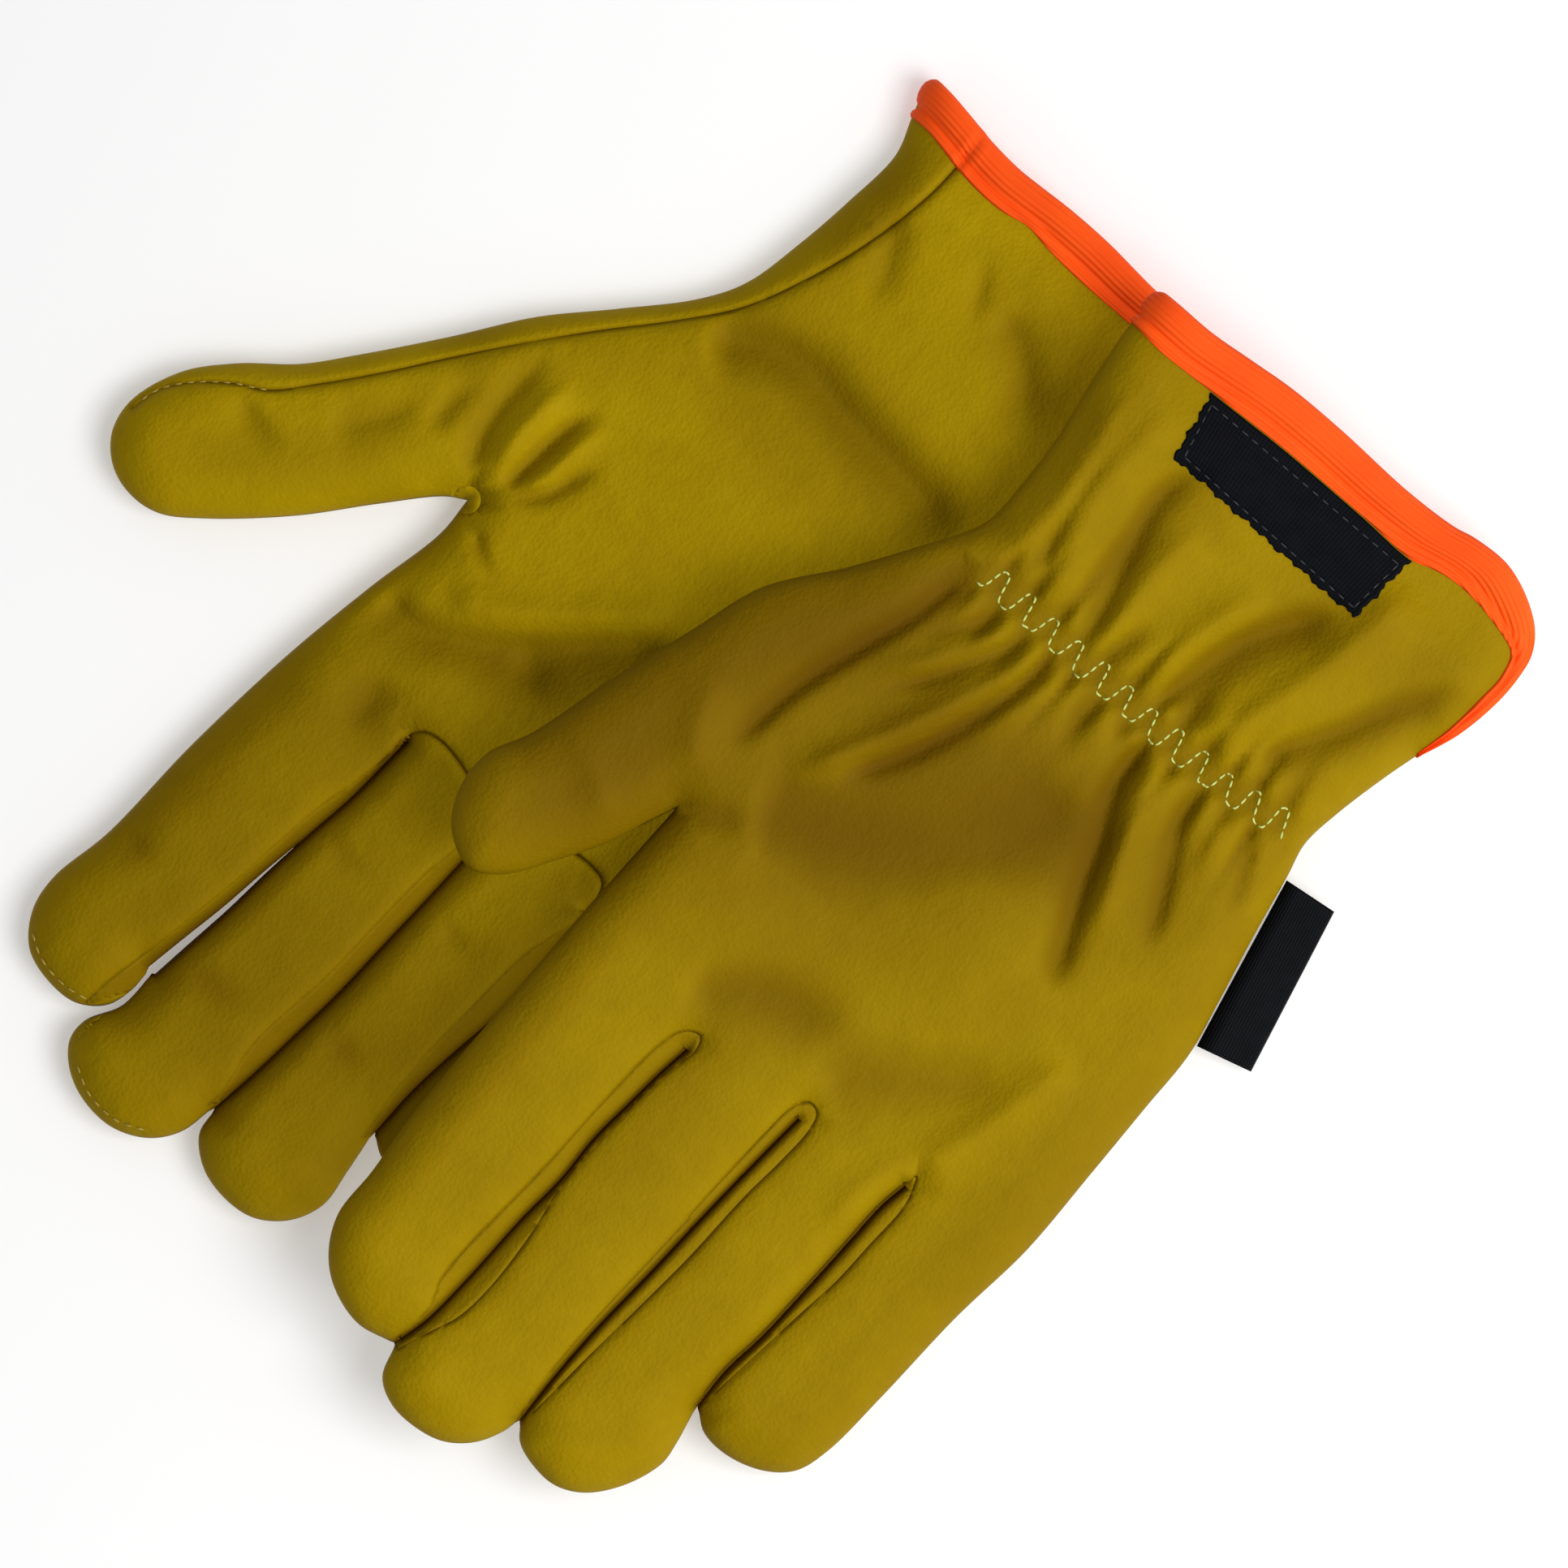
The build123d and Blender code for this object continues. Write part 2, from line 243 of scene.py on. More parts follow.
def rise(gap, width):
    """Round edge: 0 at the edge, 1 from width inwards."""
    return np.sqrt(1 - (1 - unit(gap / width)) ** 2)


def bump(points, centre, size, turn=0.0):
    """A soft round swelling, 1 at its centre."""
    x, y = points[:, 0] - centre[0], points[:, 1] - centre[1]
    u, v = x * cos(turn) + y * sin(turn), y * cos(turn) - x * sin(turn)
    return np.exp(-((u / size[0]) ** 2) - (v / size[1]) ** 2)


def fold(points, path, height, left, right):
    """A fold along a path: a ridge, or a valley if height is negative."""
    path = smooth(path, 1.5)
    gap, side, at = nearest(points, path)
    width = np.where(side > 0, left, right)
    length = travelled(path)[-1]
    ends = ease(unit(at / FOLD_LEAD) * unit((length - at) / FOLD_TAIL))
    return height * ends * np.exp(-((gap / width) ** FOLD_SHARP))


def groove(gap, depth, width):
    """A seam pressed into a sheet, with the leather swelling a little beside it."""
    return depth * (0.25 * bell((gap - 2.6 * width) / width) - bell(gap / width))


# ------------------------------------------------------------------ plans of the gloves

# Each outline runs from the cuff's thumb side round the fingers to its little-finger side,
# then back along the mouth of the cuff. An "edge" is round. A "slit" or a "gap" runs up one
# side of the space between two fingers and down the other. The two sheets lie apart at the
# "vent" and at the "mouth".

LEFT_OUTLINE = [
    ("edge", [
        (-9, 112.5), (-9.2, 105), (-7.7, 93.5), (-5.2, 80), (-4.3, 68), (-4.7, 60), (-11.5, 47.5), (-18, 37),
        (-27, 24), (-31.5, 9), (-36, -6), (-40.5, -24), (-44, -32), (-43.5, -40), (-39.5, -46.7),
        (-32.5, -49.8), (-27, -46.5), (-21.5, -38), (-17, -30), (-13.5, -21), (-11.7, -16.5),
    ]),
    ("edge", [
        (-11.7, -16.5), (-11.6, -42), (-11, -67), (-10, -91), (-8.6, -103), (-8, -113), (-4.5, -119.5),
        (0.5, -123.5), (8, -125.6), (15.2, -124),
    ]),
    ("slit", [
        (15.4, -123.8), (17, -116.5), (17.5, -105.5), (17.5, -91.5), (18, -81), (17.5, -71.5), (18, -62.5),
        (18.5, -54.5), (19.2, -48),
    ]),
    ("edge", [
        (15.8, -124), (18, -130), (22.5, -132.6), (28, -133), (34, -131.6), (38.5, -128), (41.2, -123),
        (41.9, -119.5),
    ]),
    ("slit", [(42.1, -119.2), (41.5, -111), (41.2, -98), (41.7, -83), (42, -68), (42.6, -52), (43, -43.8)]),
    ("edge", [
        (42.4, -119.5), (45, -122.4), (50, -124), (55, -124), (60, -121.4), (64.5, -115.5), (67, -108),
        (66.4, -103), (64.8, -96.5),
    ]),
    ("slit", [(64.7, -95.6), (64.2, -87.5), (65, -78), (65.2, -66), (65.2, -54), (65.2, -46), (66, -40)]),
    ("edge", [
        (65.2, -96), (69, -98.6), (75, -98.9), (82, -96.5), (86.4, -92.5), (88.3, -86), (89, -72),
        (89.4, -52), (90.8, -34), (90.2, -16), (89.5, 0), (88.9, 13), (86.5, 23.5), (83, 37.5), (80.3, 49.5),
        (78.7, 56), (79.4, 64), (81.5, 75), (83.2, 82),
    ]),
    ("vent", [(83.2, 82), (85.4, 90), (86.6, 98), (86.6, 104), (85.6, 109), (83.5, 112)]),
    ("mouth", [
        (83.5, 112), (79, 114.8), (72, 117), (63, 116.6), (52, 115), (38, 114.4), (20, 113.6), (5, 112.4),
        (-9, 112.5),
    ]),
]

RIGHT_OUTLINE = [
    ("edge", [
        (-67, 113.5), (-64.7, 107), (-62.3, 100), (-63, 88), (-64.5, 76), (-67, 64), (-71.5, 56),
        (-81.5, 44.5), (-91.5, 33.5), (-101, 20), (-111.5, 6), (-118, -2), (-127, -10), (-133.5, -18),
        (-136.8, -28), (-135.5, -34.7), (-131, -39.3), (-125, -41), (-119, -40), (-112, -35), (-100, -23.5),
        (-90, -11.5), (-82, -2.5), (-78.4, -0.2),
    ]),
    ("edge", [
        (-78.4, -0.2), (-78, -8), (-81, -24), (-84, -44), (-86, -68), (-86.6, -90), (-88.6, -103),
        (-87.4, -110), (-83, -115.7), (-76, -117.8), (-70, -117.3), (-65.5, -113.8), (-64, -109), (-64, -104),
    ]),
    ("gap", [
        (-63.6, -103.5), (-62.6, -96), (-61.2, -86), (-60.2, -76), (-58.8, -65), (-57.6, -55), (-57.2, -45),
        (-57, -40.5),
    ]),
    ("edge", [
        (-63.2, -104), (-63.4, -112), (-66.6, -118.5), (-66.4, -123), (-63, -127), (-57.5, -129.6),
        (-50, -130), (-43.5, -127), (-39.7, -122), (-38.3, -115),
    ]),
    ("slit", [
        (-38, -114.5), (-36.8, -104), (-36, -94), (-35.3, -84), (-35, -71), (-34.7, -58), (-34.6, -42),
    ]),
    ("edge", [
        (-37.8, -115), (-37, -120), (-32, -124.3), (-25, -125.8), (-19, -124.8), (-13.8, -120.6),
        (-11.2, -114.5), (-12, -107), (-13.2, -99),
    ]),
    ("slit", [(-13.1, -98), (-13.1, -88), (-12.2, -78), (-10.8, -66), (-10.8, -42)]),
    ("edge", [
        (-12.6, -98.6), (-9, -100.8), (2, -100.8), (10, -97), (13.6, -88), (14, -70), (14.6, -45),
        (17.5, -30), (19.6, -8), (21.3, 14), (18.5, 32), (16.2, 50), (17.5, 62), (20, 72), (23, 82),
    ]),
    ("vent", [(23, 82), (26, 90), (28.5, 98), (29.3, 104), (28.3, 109), (25.5, 112)]),
    ("mouth", [
        (25.5, 112), (12, 112.6), (-9.5, 112.4), (-27.5, 112.4), (-45, 112), (-58, 113), (-67, 113.5),
    ]),
]

# Side strips that show between the fingers: seam, the strip's other side, whether that is a
# seam too, and how high the strip stands beside the slit, as a share of the full height.
LEFT_STRIPS = [
    (
        [
            (15.2, -123.6), (16, -114.5), (14.2, -109.5), (13.6, -102.5), (14, -93), (14.5, -79), (14.5, -62),
            (15, -51), (16.6, -46), (19.4, -44.6), (20.6, -47.5), (19.8, -50.5),
        ],
        [
            (19.8, -50.5), (19, -56), (18.5, -66), (18.6, -80), (20.6, -92), (21.6, -104), (21, -112),
            (18.6, -118.5), (16.6, -124.2),
        ],
        True,
        0.35,
    ),
    (
        [
            (41.6, -118.5), (40.6, -110.5), (40.2, -102), (40, -92), (40.2, -73), (40.2, -61), (40.2, -50.5),
            (40.7, -43.5), (42.5, -40.4), (44.8, -40.9), (45.8, -44), (45.8, -51.5), (45.2, -61), (45.1, -76),
            (44.6, -85.5), (44, -95.5), (43.4, -104.5), (43, -114), (42.6, -119),
        ],
        [(42.6, -119), (41.6, -118.5)],
        False,
        0.6,
    ),
    (
        [
            (66.2, -36.8), (68.2, -42.5), (68.3, -52.5), (68.2, -62), (67.2, -71.5), (66.4, -80.5),
            (65.6, -89), (65.2, -94.8),
        ],
        [(64.4, -95), (63.9, -87.5), (64.7, -78), (64.9, -66), (64.9, -54), (64.9, -46), (65.6, -40)],
        False,
        0.55,
    ),
]
RIGHT_STRIPS = [
    (
        [
            (-57.4, -41), (-57.8, -47), (-59.6, -56), (-61.2, -63), (-62.6, -78), (-64.2, -89), (-66, -100),
            (-68, -110), (-69, -117.2),
        ],
        [
            (-64, -109), (-63.6, -103.5), (-62.4, -96), (-61, -86), (-60, -76), (-58.6, -65), (-57.4, -55),
            (-57, -45),
        ],
        False,
        0.12,
    ),
    (
        [
            (-35, -43), (-36.5, -48), (-37.8, -56), (-38.4, -70), (-38.7, -82), (-40, -93), (-40.6, -98),
            (-40.2, -104), (-39.2, -109), (-39, -115),
        ],
        [(-37.6, -112), (-36.6, -104), (-35.8, -94), (-35.1, -84), (-34.8, -71), (-34.5, -58), (-34.4, -46)],
        False,
        0.12,
    ),
    (
        [(-11, -43), (-14.5, -56), (-15.2, -66), (-15.4, -74), (-15.6, -82), (-15.2, -92), (-14, -100)],
        [(-12.9, -98), (-12.9, -88), (-12, -78), (-10.6, -66), (-10.6, -46)],
        False,
        0.12,
    ),
]

# Palm-side seam of the right glove, from the cuff along the thumb to its tip
THUMB_SEAM = [
    (-52.5, 112), (-52.7, 98), (-55.5, 83), (-60, 69.5), (-64.5, 60), (-72, 50), (-81, 39.5), (-90.5, 27.5),
    (-98, 17.5), (-105.5, 7), (-112.5, -2), (-119, -9.5), (-125, -13.2), (-131, -18.5), (-134.4, -23.5),
    (-135.6, -29),
]
# Seams across the roots of the middle and ring fingers
RIGHT_ROOTS = [
    [(-57.2, -43.5), (-57.6, -40.2), (-56, -37.4), (-52, -36.4), (-45, -37.6), (-38, -40), (-34.8, -42.5)],
    [(-34.4, -42.5), (-31, -38), (-24.5, -36), (-16.5, -35), (-12.8, -36), (-11, -42)],
]
LEFT_ROOTS = [
    [(18.5, -47), (22, -40), (30, -37.5), (38, -39), (42.6, -43.6)],
    [(42.8, -43.6), (48, -37.5), (55, -36), (62, -37.5), (66, -40.6)],
]
# Fronts of the middle and ring fingers, between the slits
RIGHT_FINGERS = [
    [
        (-57, -44), (-57.5, -36), (-34.6, -36), (-34.6, -58), (-36, -94), (-38, -114.5), (-38, -140),
        (-68, -140), (-63.4, -104), (-60.2, -76),
    ],
    [
        (-34.7, -44), (-34.7, -34), (-10.9, -34), (-10.8, -66), (-13.1, -98), (-10, -120), (-20, -140),
        (-38, -140), (-38, -114.5), (-36, -94), (-34.8, -58),
    ],
]
LEFT_FINGERS = [
    [
        (18.5, -50), (18.5, -36), (42.8, -36), (42.5, -52), (41.2, -98), (42.1, -119.3), (44, -140),
        (12, -140), (15.5, -123.9), (17.5, -105), (18, -72),
    ],
    [
        (42.9, -46), (42.9, -34), (66, -34), (65.2, -54), (64.2, -88), (64.9, -96), (72, -140), (44, -140),
        (42.1, -119.3), (41.2, -98), (42.5, -52),
    ],
]

# Mouth of the cuff: outer and inner edge of its binding, from the thumb side to the vent's end
LEFT_HEM = (
    [
        (-8.9, 113.3), (-5.1, 113.4), (3.1, 113.6), (12, 114.8), (21, 116), (32.5, 116.5), (49.5, 116.5),
        (60.2, 117.5), (64.2, 118.5), (72.2, 119), (79.6, 116.5), (84.4, 113.2), (86.7, 109.4), (87.5, 102.8),
        (87.3, 97.5), (86.2, 90.4), (83.4, 81.6),
    ],
    [
        (-8.9, 105.2), (-2.2, 104.6), (4, 105), (10, 105.5), (18, 106.1), (27.8, 106.8), (45.7, 107.4),
        (58.1, 107.6), (61.5, 108.8), (66, 109.9), (72, 110), (79.2, 108.8), (83.1, 107.4), (84.7, 103),
        (84.6, 97.5), (84.2, 90.4), (82.9, 82.2),
    ],
)
RIGHT_HEM = (
    [
        (-66.6, 115.2), (-62.8, 115.1), (-56.7, 114.4), (-50.4, 113.5), (-43.5, 113.1), (-38.3, 113.4),
        (-31.4, 113.9), (-22.2, 114), (-10.1, 113.3), (3, 113.4), (14, 114.2), (22, 114), (27, 111.4),
        (30, 106), (29.4, 99), (27, 90), (23.3, 81.6),
    ],
    [
        (-64.4, 107.2), (-60.1, 107), (-52.5, 105.5), (-45.7, 104.9), (-40.6, 105.1), (-35.4, 106.2),
        (-30.2, 105.6), (-22, 105.2), (-10.2, 105.4), (2, 105.4), (12, 105.8), (19.5, 105.6), (24, 104.6),
        (26.4, 102), (26.6, 97.4), (25, 90), (22.8, 82.2),
    ],
)

# The elastic's zigzag stitch: its middle line, and one tooth as (along, across) shares
STITCH_LINE = [(1.5, 53.4), (24, 53.2), (46, 53.3), (60, 53.8), (68, 55), (76.2, 56.4)]
TOOTH_LENGTH = 6.15
TOOTH_REACH = 2.45
TOOTH = [
    (0.0, -1), (0.18, -0.95), (0.26, -0.5), (0.34, 0.55), (0.41, 0.97), (0.6, 1), (0.67, 0.6), (0.78, -0.5),
    (0.85, -0.93),
]

# Folds: height, half width on the left and on the right of the way, and the way itself
LEFT_FOLDS = [
    # cuff
    (-0.9, 1.5, 2.2, [(7.5, 57), (6.5, 63.5), (5.5, 68.5), (5, 75)]),
    (-1.3, 2.2, 2.8, [(22.5, 56.5), (21, 65), (18.5, 74), (16, 82.5), (16.5, 88.5), (20, 95)]),
    (-0.7, 1.6, 2.0, [(17, 60), (16.5, 70.5), (15, 79.5)]),
    (-0.8, 1.6, 2.0, [(29.5, 56), (29.5, 62), (31, 70)]),
    (-1.9, 2.6, 4.6, [(42.4, 56), (42.9, 65.7), (44.6, 74), (48.1, 81.4), (52, 87.4), (56, 93)]),
    (-1.4, 2.4, 3.6, [(61, 60), (65, 68), (70.2, 77), (74, 85.3), (77.4, 90.9), (79.5, 97.9)]),
    (1.0, 4.0, 4.0, [(12, 56), (10.5, 65.5), (8, 75), (7, 89.5), (8, 100.5)]),
    (0.9, 3.2, 3.2, [(25.5, 56), (25, 65), (24.5, 76), (26, 88)]),
    (0.7, 2.6, 2.6, [(3.5, 57), (3, 70), (1, 83), (-1.5, 98)]),
    (1.1, 3.2, 3.2, [(37, 57), (37.5, 66), (39.5, 76), (43.5, 86)]),
    (1.4, 3.6, 5.5, [(50.5, 57), (55.4, 66), (59, 80), (61.3, 95.7), (62.2, 106)]),
    (-0.45, 0.7, 0.9, [(11, 56), (6, 68.5), (3, 88.5)]),
    (-0.45, 0.7, 0.9, [(34.5, 57), (34.8, 64), (36, 71)]),
    (-0.5, 0.8, 1.0, [(55.6, 58), (58.5, 64), (62, 69)]),
    # thumb and back of the hand, below the wrist
    (-1.3, 1.7, 2.6, [(1, 51), (-1.5, 46.5), (-2.5, 40.5), (-6, 29), (-10, 15), (-11.5, 3.5), (-12, -3)]),
    (-0.8, 1.4, 1.6, [(10.5, 51), (7.5, 46.5), (3.5, 41), (-0.5, 35)]),
    (0.8, 2.0, 2.0, [(13, 51), (8.5, 41.5), (4, 33), (-3.5, 26)]),
    (-0.9, 1.5, 1.7, [(16, 50.5), (11.5, 41), (7, 32.5), (1, 24)]),
    (1.6, 2.6, 2.9, [(18.5, 51), (18, 45), (15.5, 37), (11, 25.5), (5.5, 13), (-1, 1)]),
    (-1.3, 2.2, 2.4, [(22.5, 51), (20, 44), (17.5, 32), (13.5, 20), (5, 6)]),
    (0.9, 1.9, 2.1, [(25.5, 51), (24.5, 46), (22, 37), (19.5, 28)]),
    (-0.9, 1.6, 1.8, [(31, 51), (31.5, 46.5), (34, 40)]),
    (0.8, 2.0, 2.2, [(38.5, 51), (38.5, 45), (40, 37)]),
    (-1.7, 2.4, 3.2, [(45, 51), (44.6, 46), (46, 39), (50, 31), (53.5, 22), (58, 12.5), (62, 3)]),
    (1.2, 2.6, 2.6, [(50.5, 51), (50.5, 43), (53.5, 34), (57.5, 25), (62, 16)]),
    (-1.1, 1.7, 2.4, [(57.5, 51), (58.8, 44), (62.5, 36.5), (67, 28), (70, 20)]),
    (0.8, 1.9, 2.0, [(63.5, 52), (65.5, 45), (69, 37)]),
    (-0.9, 1.6, 2.0, [(70.5, 52), (72.5, 47), (75.5, 40), (77, 34)]),
    (-1.1, 9.0, 9.0, [(-2, -8), (14, 0), (29.5, 9), (40, 24), (41, 38)]),
    (-0.8, 5.5, 5.5, [(10, -40), (14.5, -38), (21, -32), (33, -28), (40, -28)]),
    (-0.7, 5.5, 6.0, [(41.5, -38.5), (47, -31), (57, -22), (70, -13)]),
    (1.0, 4.0, 4.0, [(74, -2), (72, -10), (68, -28), (64, -42), (62, -58)]),
    (-1.0, 3.4, 3.4, [(-9, -15), (-3, -12), (4, -12)]),
    (0.9, 4.0, 3.2, [(-13, -10), (-19, -2), (-23, 10)]),
    (0.5, 3.0, 3.0, [(-18, -28), (-26, -22), (-36, -20)]),
]
# Broad areas of painted shade on the leather: amount of shade, centre, size and turn in degrees
LEFT_PAINTED_SHADE = [
    (0.42, (35, -10), (150, 200), 0), (0.7, (-15, 26), (12, 36), -28), (0.7, (-28, -20), (20, 30), -20),
    (0.45, (12, -4), (26, 20), 15), (0.4, (12, 24), (18, 16), 0), (0.5, (38, 30), (34, 20), 0),
    (0.3, (20, 82), (7, 18), -8), (0.25, (48, 84), (6, 18), -20), (0.3, (-7, -75), (6, 46), 0),
    (0.22, (24, -62), (7, 26), 0), (0.3, (86, -30), (10, 60), 0), (0.3, (0, 85), (8, 22), 0),
    (0.25, (30, -30), (18, 7), 10), (0.3, (60, 90), (6, 14), -10), (0.25, (74, 88), (8, 20), -10),
]
# Broad swellings: height, centre and size
LEFT_BUMPS = [
    (1.2, (6.5, -21.5), (12, 13)), (1.5, (43.5, 2), (13, 15)), (0.8, (78, -20), (8, 16)),
    (0.6, (20, 98), (9, 8)),
]

RIGHT_FOLDS = [
    # thumb
    (-0.8, 2.4, 2.4, [(-124, -13), (-119, -15.5), (-113.5, -16), (-109, -14)]),
    (-0.8, 3.6, 3.6, [(-107, -8), (-100.5, 0.5), (-95, 11.5)]),
    (-1.6, 1.4, 1.8, [(-75, 4), (-74.4, 14.5), (-73.3, 22.5), (-70.5, 29)]),
    (-1.1, 1.6, 1.9, [(-74.5, 4.5), (-69, 9.5), (-66.4, 15.5), (-63, 23)]),
    (-1.1, 2.4, 2.4, [(-80.5, 2.5), (-84.5, 11), (-85.5, 22), (-84, 31)]),
    (1.1, 2.0, 2.2, [(-77.5, 6), (-79.3, 14.5), (-79, 23), (-78, 31)]),
    (0.9, 1.4, 1.5, [(-73.5, 5.5), (-70.4, 12), (-69.6, 20), (-68, 28)]),
    (-0.8, 2.0, 2.4, [(-92, 3), (-92.5, 12), (-90, 20)]),
    # palm
    (-1.7, 3.2, 7.0, [(-80, -23), (-70, -24), (-60, -19.5), (-50, -12), (-40, -2.5), (-30, 7)]),
    (1.0, 4.2, 2.4, [(-70, -16), (-62, -13), (-53, -6), (-43, 2.5), (-34, 11)]),
    (-0.8, 1.3, 1.5, [(-76, -1.5), (-69.5, -6), (-63, -9)]),
    (-1.0, 4.0, 4.0, [(-54, -17), (-48, -16), (-43, -22)]),
    (-0.9, 4.0, 4.0, [(-68, -33), (-67, -40), (-66, -50)]),
    (-1.7, 4.4, 5.4, [(-66, 50), (-59, 56), (-50, 59.5), (-35.5, 58), (-22, 57), (-6, 55)]),
    (-0.9, 4.0, 4.0, [(-30, 92), (-20, 87.5), (-8.5, 77)]),
    (-0.8, 3.0, 3.0, [(-56, 94), (-50, 84), (-47, 74)]),
    (-0.5, 2.0, 2.0, [(-38, 98), (-33, 90), (-30, 82)]),
    # fingers
    (-0.6, 3.0, 3.0, [(-87, -89), (-81, -88.5), (-73, -88)]),
    (-0.5, 2.4, 2.4, [(-60, -62), (-52, -64), (-44, -63)]),
    (-0.6, 3.4, 3.4, [(-62, -97), (-54.5, -98.5), (-45, -96)]),
    (-0.6, 3.0, 3.0, [(-34, -92), (-28, -91), (-21, -93)]),
    (-0.5, 3.0, 3.0, [(-32, -60), (-25, -62), (-17, -60)]),
]
# Painted shade on the right glove, and the left glove's shadow painted over its fingers; the same columns
RIGHT_PAINTED_SHADE = [
    (0.65, (-50, -88), (60, 44), 0), (0.2, (-16, 90), (14, 9), -20), (0.6, (-58, 92), (6, 22), 0),
    (0.3, (-80, -62), (6, 24), 0), (0.15, (-52, -20), (26, 9), 35), (0.45, (-38, 52), (30, 13), -4),
    (0.3, (-108, -16), (18, 6), 40), (0.3, (-4, 84), (12, 24), 0), (0.25, (-79, 34), (16, 6), 40),
    (0.3, (-96, 22), (6, 20), 40), (0.35, (0, -20), (16, 70), 0), (0.4, (-68, -45), (14, 10), 0),
]
RIGHT_BUMPS = [
    (1.2, (-60, -27.5), (8, 7)), (0.9, (-70.5, -53), (8, 10)), (0.9, (-19.5, -54), (7, 9)),
    (1.0, (-48, 28), (20, 22)),
]


def traced(outline):
    """The outline as closed plane points, and which kind of stretch each one belongs to."""
    points, kinds = [], []
    for kind, stretch in outline:
        path = smooth(stretch)
        if kind in ("slit", "gap"):
            width = np.full(len(path), SLIT_WIDTH)
            if kind == "gap":
                share = np.linspace(0, 1, len(path))
                width += (GAP_WIDTH - SLIT_WIDTH) * unit(1 - share / 0.6)
            width[-2:] *= 0.5
            left = (shifted(path, 1) - path) * width[:, None] / 2
            path = np.vstack([path + left, (path - left)[::-1]])
            kind = "slit"
        else:
            path = path[:-1]
        points.append(path)
        kinds += [kind] * len(path)
    return np.vstack(points), kinds


# ------------------------------------------------------------------ heights of a glove


class Glove:
    """Plan of one glove, and the heights of its two sheets."""

    def __init__(self, name, outline, strips, middle, folds, bumps, tones, more_seams):
        self.name, self.strips, self.middle = name, strips, middle
        self.folds, self.bumps, self.tones, self.more_seams = folds, bumps, tones, more_seams
        self.border, kinds = traced(outline)
        self.stretches = {}
        closed = np.vstack([self.border, self.border[:1]])
        start = 0
        for i in range(1, len(kinds) + 1):
            if i == len(kinds) or kinds[i] != kinds[start]:
                self.stretches.setdefault(kinds[start], []).append(closed[start : i + 1])
                start = i

    def gap(self, points, kind):
        """Distance to the nearest stretch of one kind."""
        return np.minimum.reduce([nearest(points, path)[0] for path in self.stretches[kind]])

    def seams(self):
        """Seams of the upper sheet as (path, depth)."""
        found = [(smooth(seam), STRIP_SEAM) for seam, *_ in self.strips]
        found += [(smooth(back), BACK_SEAM) for _, back, sewn, _ in self.strips if sewn]
        return found + [(smooth(path), ROOT_SEAM) for path in self.more_seams]

    def swell(self, points, upper):
        """Distance of a sheet from the middle surface, before folds and seams."""
        edge, vent, slit = (self.gap(points, kind) for kind in ("edge", "vent", "slit"))
        side = rise(slit, SLIT_ROUND)
        drop, width = FINGER_SHOULDER[self.name]
        if upper:
            for seam, back, sewn, share in self.strips:
                seam, back = smooth(seam), smooth(back)
                to_seam = nearest(points, seam)[0]
                if sewn:
                    to_seam = np.minimum(to_seam, nearest(points, back)[0])
                crown = 1 - drop * np.exp(-to_seam / width)
                within = inside(points, np.vstack([seam, back]))
                part = slit / (slit + to_seam + 1e-6)
                wall = (share + (1 - drop - share) * part) * np.sqrt(unit(slit / RINGS[1]))
                beside = ~within & (to_seam < np.minimum(slit, STRIP_BESIDE))
                side = np.where(beside, crown, side)
                side = np.where(within, wall, side)
        side = side * (1 - HEM_DIP * ease((points[:, 1] - HEM_FROM) / HEM_FADE))
        open_edge = VENT_OPEN + (1 - VENT_OPEN) * rise(vent, EDGE_ROUND)
        return PALM_RISE * rise(edge, EDGE_ROUND) * side * open_edge, np.minimum(edge, slit)

    def height(self, points, upper=True):
        """Height of a sheet above the table, and the shade painted on it."""
        swell, margin = self.swell(points, upper)
        # Painted shadow in the slits between the fingers
        tone = bell(self.gap(points, "slit") / SLIT_SHADOW_WIDTH)
        # Broad areas of painted shade and shadow
        for amount, centre, size, turn in self.tones:
            tone = tone + amount * bump(points, centre, size, radians(turn)) * (1 - 0.5 * unit(tone))
        if not upper:
            return self.middle(points) - swell, tone
        held = unit(margin / FOLD_MARGIN)
        relief = np.zeros(len(points))
        for lift, left, right, way in self.folds:
            relief += fold(points, way, FOLD_GAIN * lift, left, right)
        for lift, centre, size in self.bumps:
            relief += lift * bump(points, centre, size)
        if self.name == "left":
            relief += gathers(points)
        relief *= held
        # Painted shade in the valleys of the folds
        painted_fold_shade = FOLD_SHADE * (1 - np.exp(np.minimum(relief, 0) / FOLD_DEEP))
        tone = painted_fold_shade + tone * (1 - 0.5 * painted_fold_shade)
        # Painted shade on the side strips, which slope away from the light
        for seam, back, *_ in self.strips:
            within = inside(points, np.vstack([smooth(seam), smooth(back)]))
            inward = unit(nearest(points, smooth(seam))[0] / SEAM_ROW) * within
            tone = tone + STRIP_SHADE[self.name] * inward * (1 - tone)
        firm = unit(margin / SEAM_FIRM)
        for path, depth in self.seams():
            gap = nearest(points, path)[0]
            relief += groove(gap, depth, SEAM_WIDTH) * firm
            # Painted shade in the seam's groove
            tone = np.maximum(tone, SEAM_SHADE * bell(gap / SEAM_WIDTH))
        return self.middle(points) + swell + relief, tone


